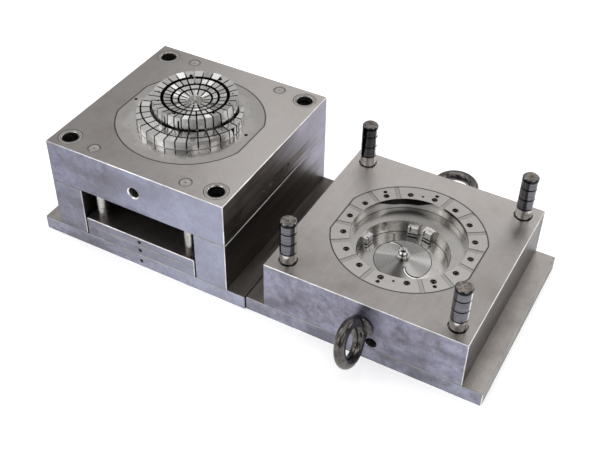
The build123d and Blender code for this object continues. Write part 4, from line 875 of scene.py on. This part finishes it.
def eye_foot(foot, out, across):
    """The collar and neck of an eye bolt.

    A profile turned about the bolt's axis: a flat under face, a collar 15 mm in radius with a rounded rim,
    and a neck that sweeps in to 8.4 mm as it rises into the ring.
    """
    profile = np.array([(0.0, 0.0), (13.8, 0.0), (14.6, 0.4), (15.0, 1.2), (15.0, 2.9), (14.6, 3.9),
                        (13.6, 4.5), (12.2, 5.2), (11.0, 6.4), (10.0, 8.4), (9.2, 11.0), (8.4, 13.6),
                        (0.0, 14.0)])
    return placed(turned(profile) * MM, foot, np.cross(across, out), across, out)


def settled(piece):
    """Works the piece's modifiers into its mesh."""
    bpy.context.view_layer.update()
    graph = bpy.context.evaluated_depsgraph_get()
    mesh = bpy.data.meshes.new_from_object(piece.evaluated_get(graph))
    piece.modifiers.clear()
    piece.data = mesh
    mesh.polygons.foreach_set("use_smooth", np.ones(len(mesh.polygons), bool))


def eye_bolt(node, out, across, steel):
    """A forged eye bolt: its ring and foot made one skin, which stands where the node's own ring does."""
    side = 0 if out[1] < 0 else 1
    x, _, z = midpoint(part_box(node))
    foot = np.array([x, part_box("cavity_plate")[side][1], z])
    work = bmesh.new()
    work.from_mesh(surface("ring", eye_ring(foot + EYE_CENTRE_REACH * np.array(out), out, across)))
    work.from_mesh(surface("foot", eye_foot(foot, out, across), rows_closed=False))
    forging = bpy.data.meshes.new(node + "_forging")
    work.to_mesh(forging)
    work.free()
    piece = bpy.data.objects.new(node + "_forging", forging)
    bpy.context.scene.collection.objects.link(piece)
    skin = piece.modifiers.new("skin", "REMESH")
    skin.mode = "VOXEL"
    skin.voxel_size = 0.75 * MM
    soften = piece.modifiers.new("soften", "SMOOTH")
    soften.factor = 0.5
    soften.iterations = 6
    settled(piece)
    piece.data.materials.append(steel)
    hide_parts(node)
    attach(piece, "mould")


def lifting_thread(name, mouth, inward, steel):
    """The thread ridge in a lifting hole.

    A ridge that winds inwards: at turn t its middle lies t times the pitch deeper, and its section is a low
    trapezium that stands on the hole's wall, 7 mm in radius, and rises to 6.35 mm. Its ends taper back into
    the wall and close to a point.
    """
    pitch, turns, wall, crest, start, taper = 2.0, 9, 6.98, 6.35, 2.2, 1.2
    t = np.linspace(0, turns * 2 * np.pi, turns * 40)[:, None]
    fade = np.clip(np.minimum(t, t.max() - t) / taper, 0.0, 1.0)
    section_depth = np.array([-0.75, -0.12, 0.12, 0.75, 0.0])[None, :]
    section_lift = np.array([0.0, 1.0, 1.0, 0.0, -0.1])[None, :]
    radius = wall - (wall - crest) * section_lift * fade
    depth = start + pitch * t / (2 * np.pi) + section_depth * fade
    points = np.stack([radius * np.cos(t), radius * np.sin(t), depth], -1) * MM
    up = (0.0, 0.0, 1.0)
    mesh = surface(name, placed(points, mouth, np.cross(up, inward), up, inward), rows_closed=False)
    weld(mesh)
    piece = bpy.data.objects.new(name, mesh)
    bpy.context.scene.collection.objects.link(piece)
    mesh.materials.append(steel)
    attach(piece, "mould")


# The mould.


def corners(name):
    """The four names of a piece that stands in each corner."""
    return [name + "_" + place for place in ("front_left", "front_right", "rear_left", "rear_right")]


def dress_plates():
    """Gives the plates their ground finishes: colours for top, front and side, which are lit and shaded
    copies with painted light and shade, and a painted reflection for the side.
    """
    # Warm tops, bluish fronts and darker sides are painted light and shade; lavender is a painted reflection.
    warm, cool, brown = (0.365, 0.341, 0.325), (0.255, 0.259, 0.35), (0.25, 0.22, 0.2)
    lavender = (0.29, 0.272, 0.335)
    clamp_joint, spacer_joint, ejector_joint = 20.0, 90.0, 35.0
    dress(ground_plate("core_plate_steel", warm, cool, brown, 1, (spacer_joint,), core_seams, lavender,
                       ((1.0, 0.6), -0.25, -0.02)), "core_plate")
    dress(ground_plate("cavity_plate_steel", warm, (0.34, 0.335, 0.436), (0.1, 0.085, 0.078), 2,
                       (clamp_joint,), cavity_seams, None, ((-0.5, 1.0), -0.2, 0.09)), "cavity_plate")
    dress(ground_plate("clamp_plate_steel", (0.385, 0.357, 0.335), (0.34, 0.345, 0.432), brown, 3,
                       (clamp_joint,), gap_shade), "moving_clamp_plate", "fixed_clamp_plate")
    dress(ground_plate("spacer_steel", warm, (0.24, 0.244, 0.315), (0.12, 0.104, 0.094), 4,
                       (clamp_joint, spacer_joint), None, lavender),
          "spacer_block_left", "spacer_block_right")
    dress(ground_plate("ejector_plate_steel", (0.3, 0.28, 0.262), (0.25, 0.252, 0.3), brown, 5,
                       (ejector_joint,)), "ejector_plate", "retainer_plate")


def dress_mould():
    """Gives every solid its finish."""
    dress_plates()
    dress(polished_flange(), "core_insert")
    dress(polished_blocks(), "upper_core")
    dress(mirror_cavity(), "cavity_insert")
    for name in ("clip_block_1", "clip_block_2", "clip_block_3"):
        x, y, _ = midpoint(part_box(name))
        turn = math.degrees(math.atan2(y - FLOOR_DISC_MIDDLE[1], x - FLOOR_DISC_MIDDLE[0]))
        dress(bright_block(name + "_steel", turn), name)
    dress(turned_disc(), "floor_disc")
    dress(turned_bright("turned_bright_steel"), "sprue_bush", "locating_ring", "core_pin")
    dress(guide_pin_chrome(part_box("guide_pin_front_left")[1][2]), *corners("guide_pin"))
    dress(hardened_pin("bush_steel", BUSH_PLACE, (11.8 * MM,)), *corners("guide_bush"))
    dress(hardened_pin("return_pin_steel", RETURN_PIN_PLACE, (6.4 * MM,), 1.3 * MM), *corners("return_pin"))
    dress(hardened_pin("ejector_pin_steel"), "ejector_pins", "wall_pin")
    dress(black_oxide(), "rim_screws", "rim_dowels", "moving_side_screws", "core_insert_screws",
          "ejector_plate_screws", "locating_ring_screws", "fixed_side_screws", "floor_disc_screws")


def add_pieces():
    """Adds the forged eye bolts and the threads of the lifting holes."""
    steel, tapped = forged_steel(), black_oxide()
    lean = math.radians(12.0)
    eye_bolt("eye_bolt_front", (0.0, -1.0, 0.0), (math.cos(lean), 0.0, math.sin(lean)), steel)
    eye_bolt("eye_bolt_rear", (0.0, 1.0, 0.0), (0.0, 0.0, 1.0), steel)
    low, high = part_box("core_plate")
    x = (low[0] + high[0]) / 2
    lifting_thread("lifting_thread_front", (x, low[1], LIFTING_HOLE_HEIGHT), (0.0, 1.0, 0.0), tapped)
    lifting_thread("lifting_thread_rear", (x, high[1], LIFTING_HOLE_HEIGHT), (0.0, -1.0, 0.0), tapped)


photo_camera()
studio()
pale_floor()
dress_mould()
add_pieces()
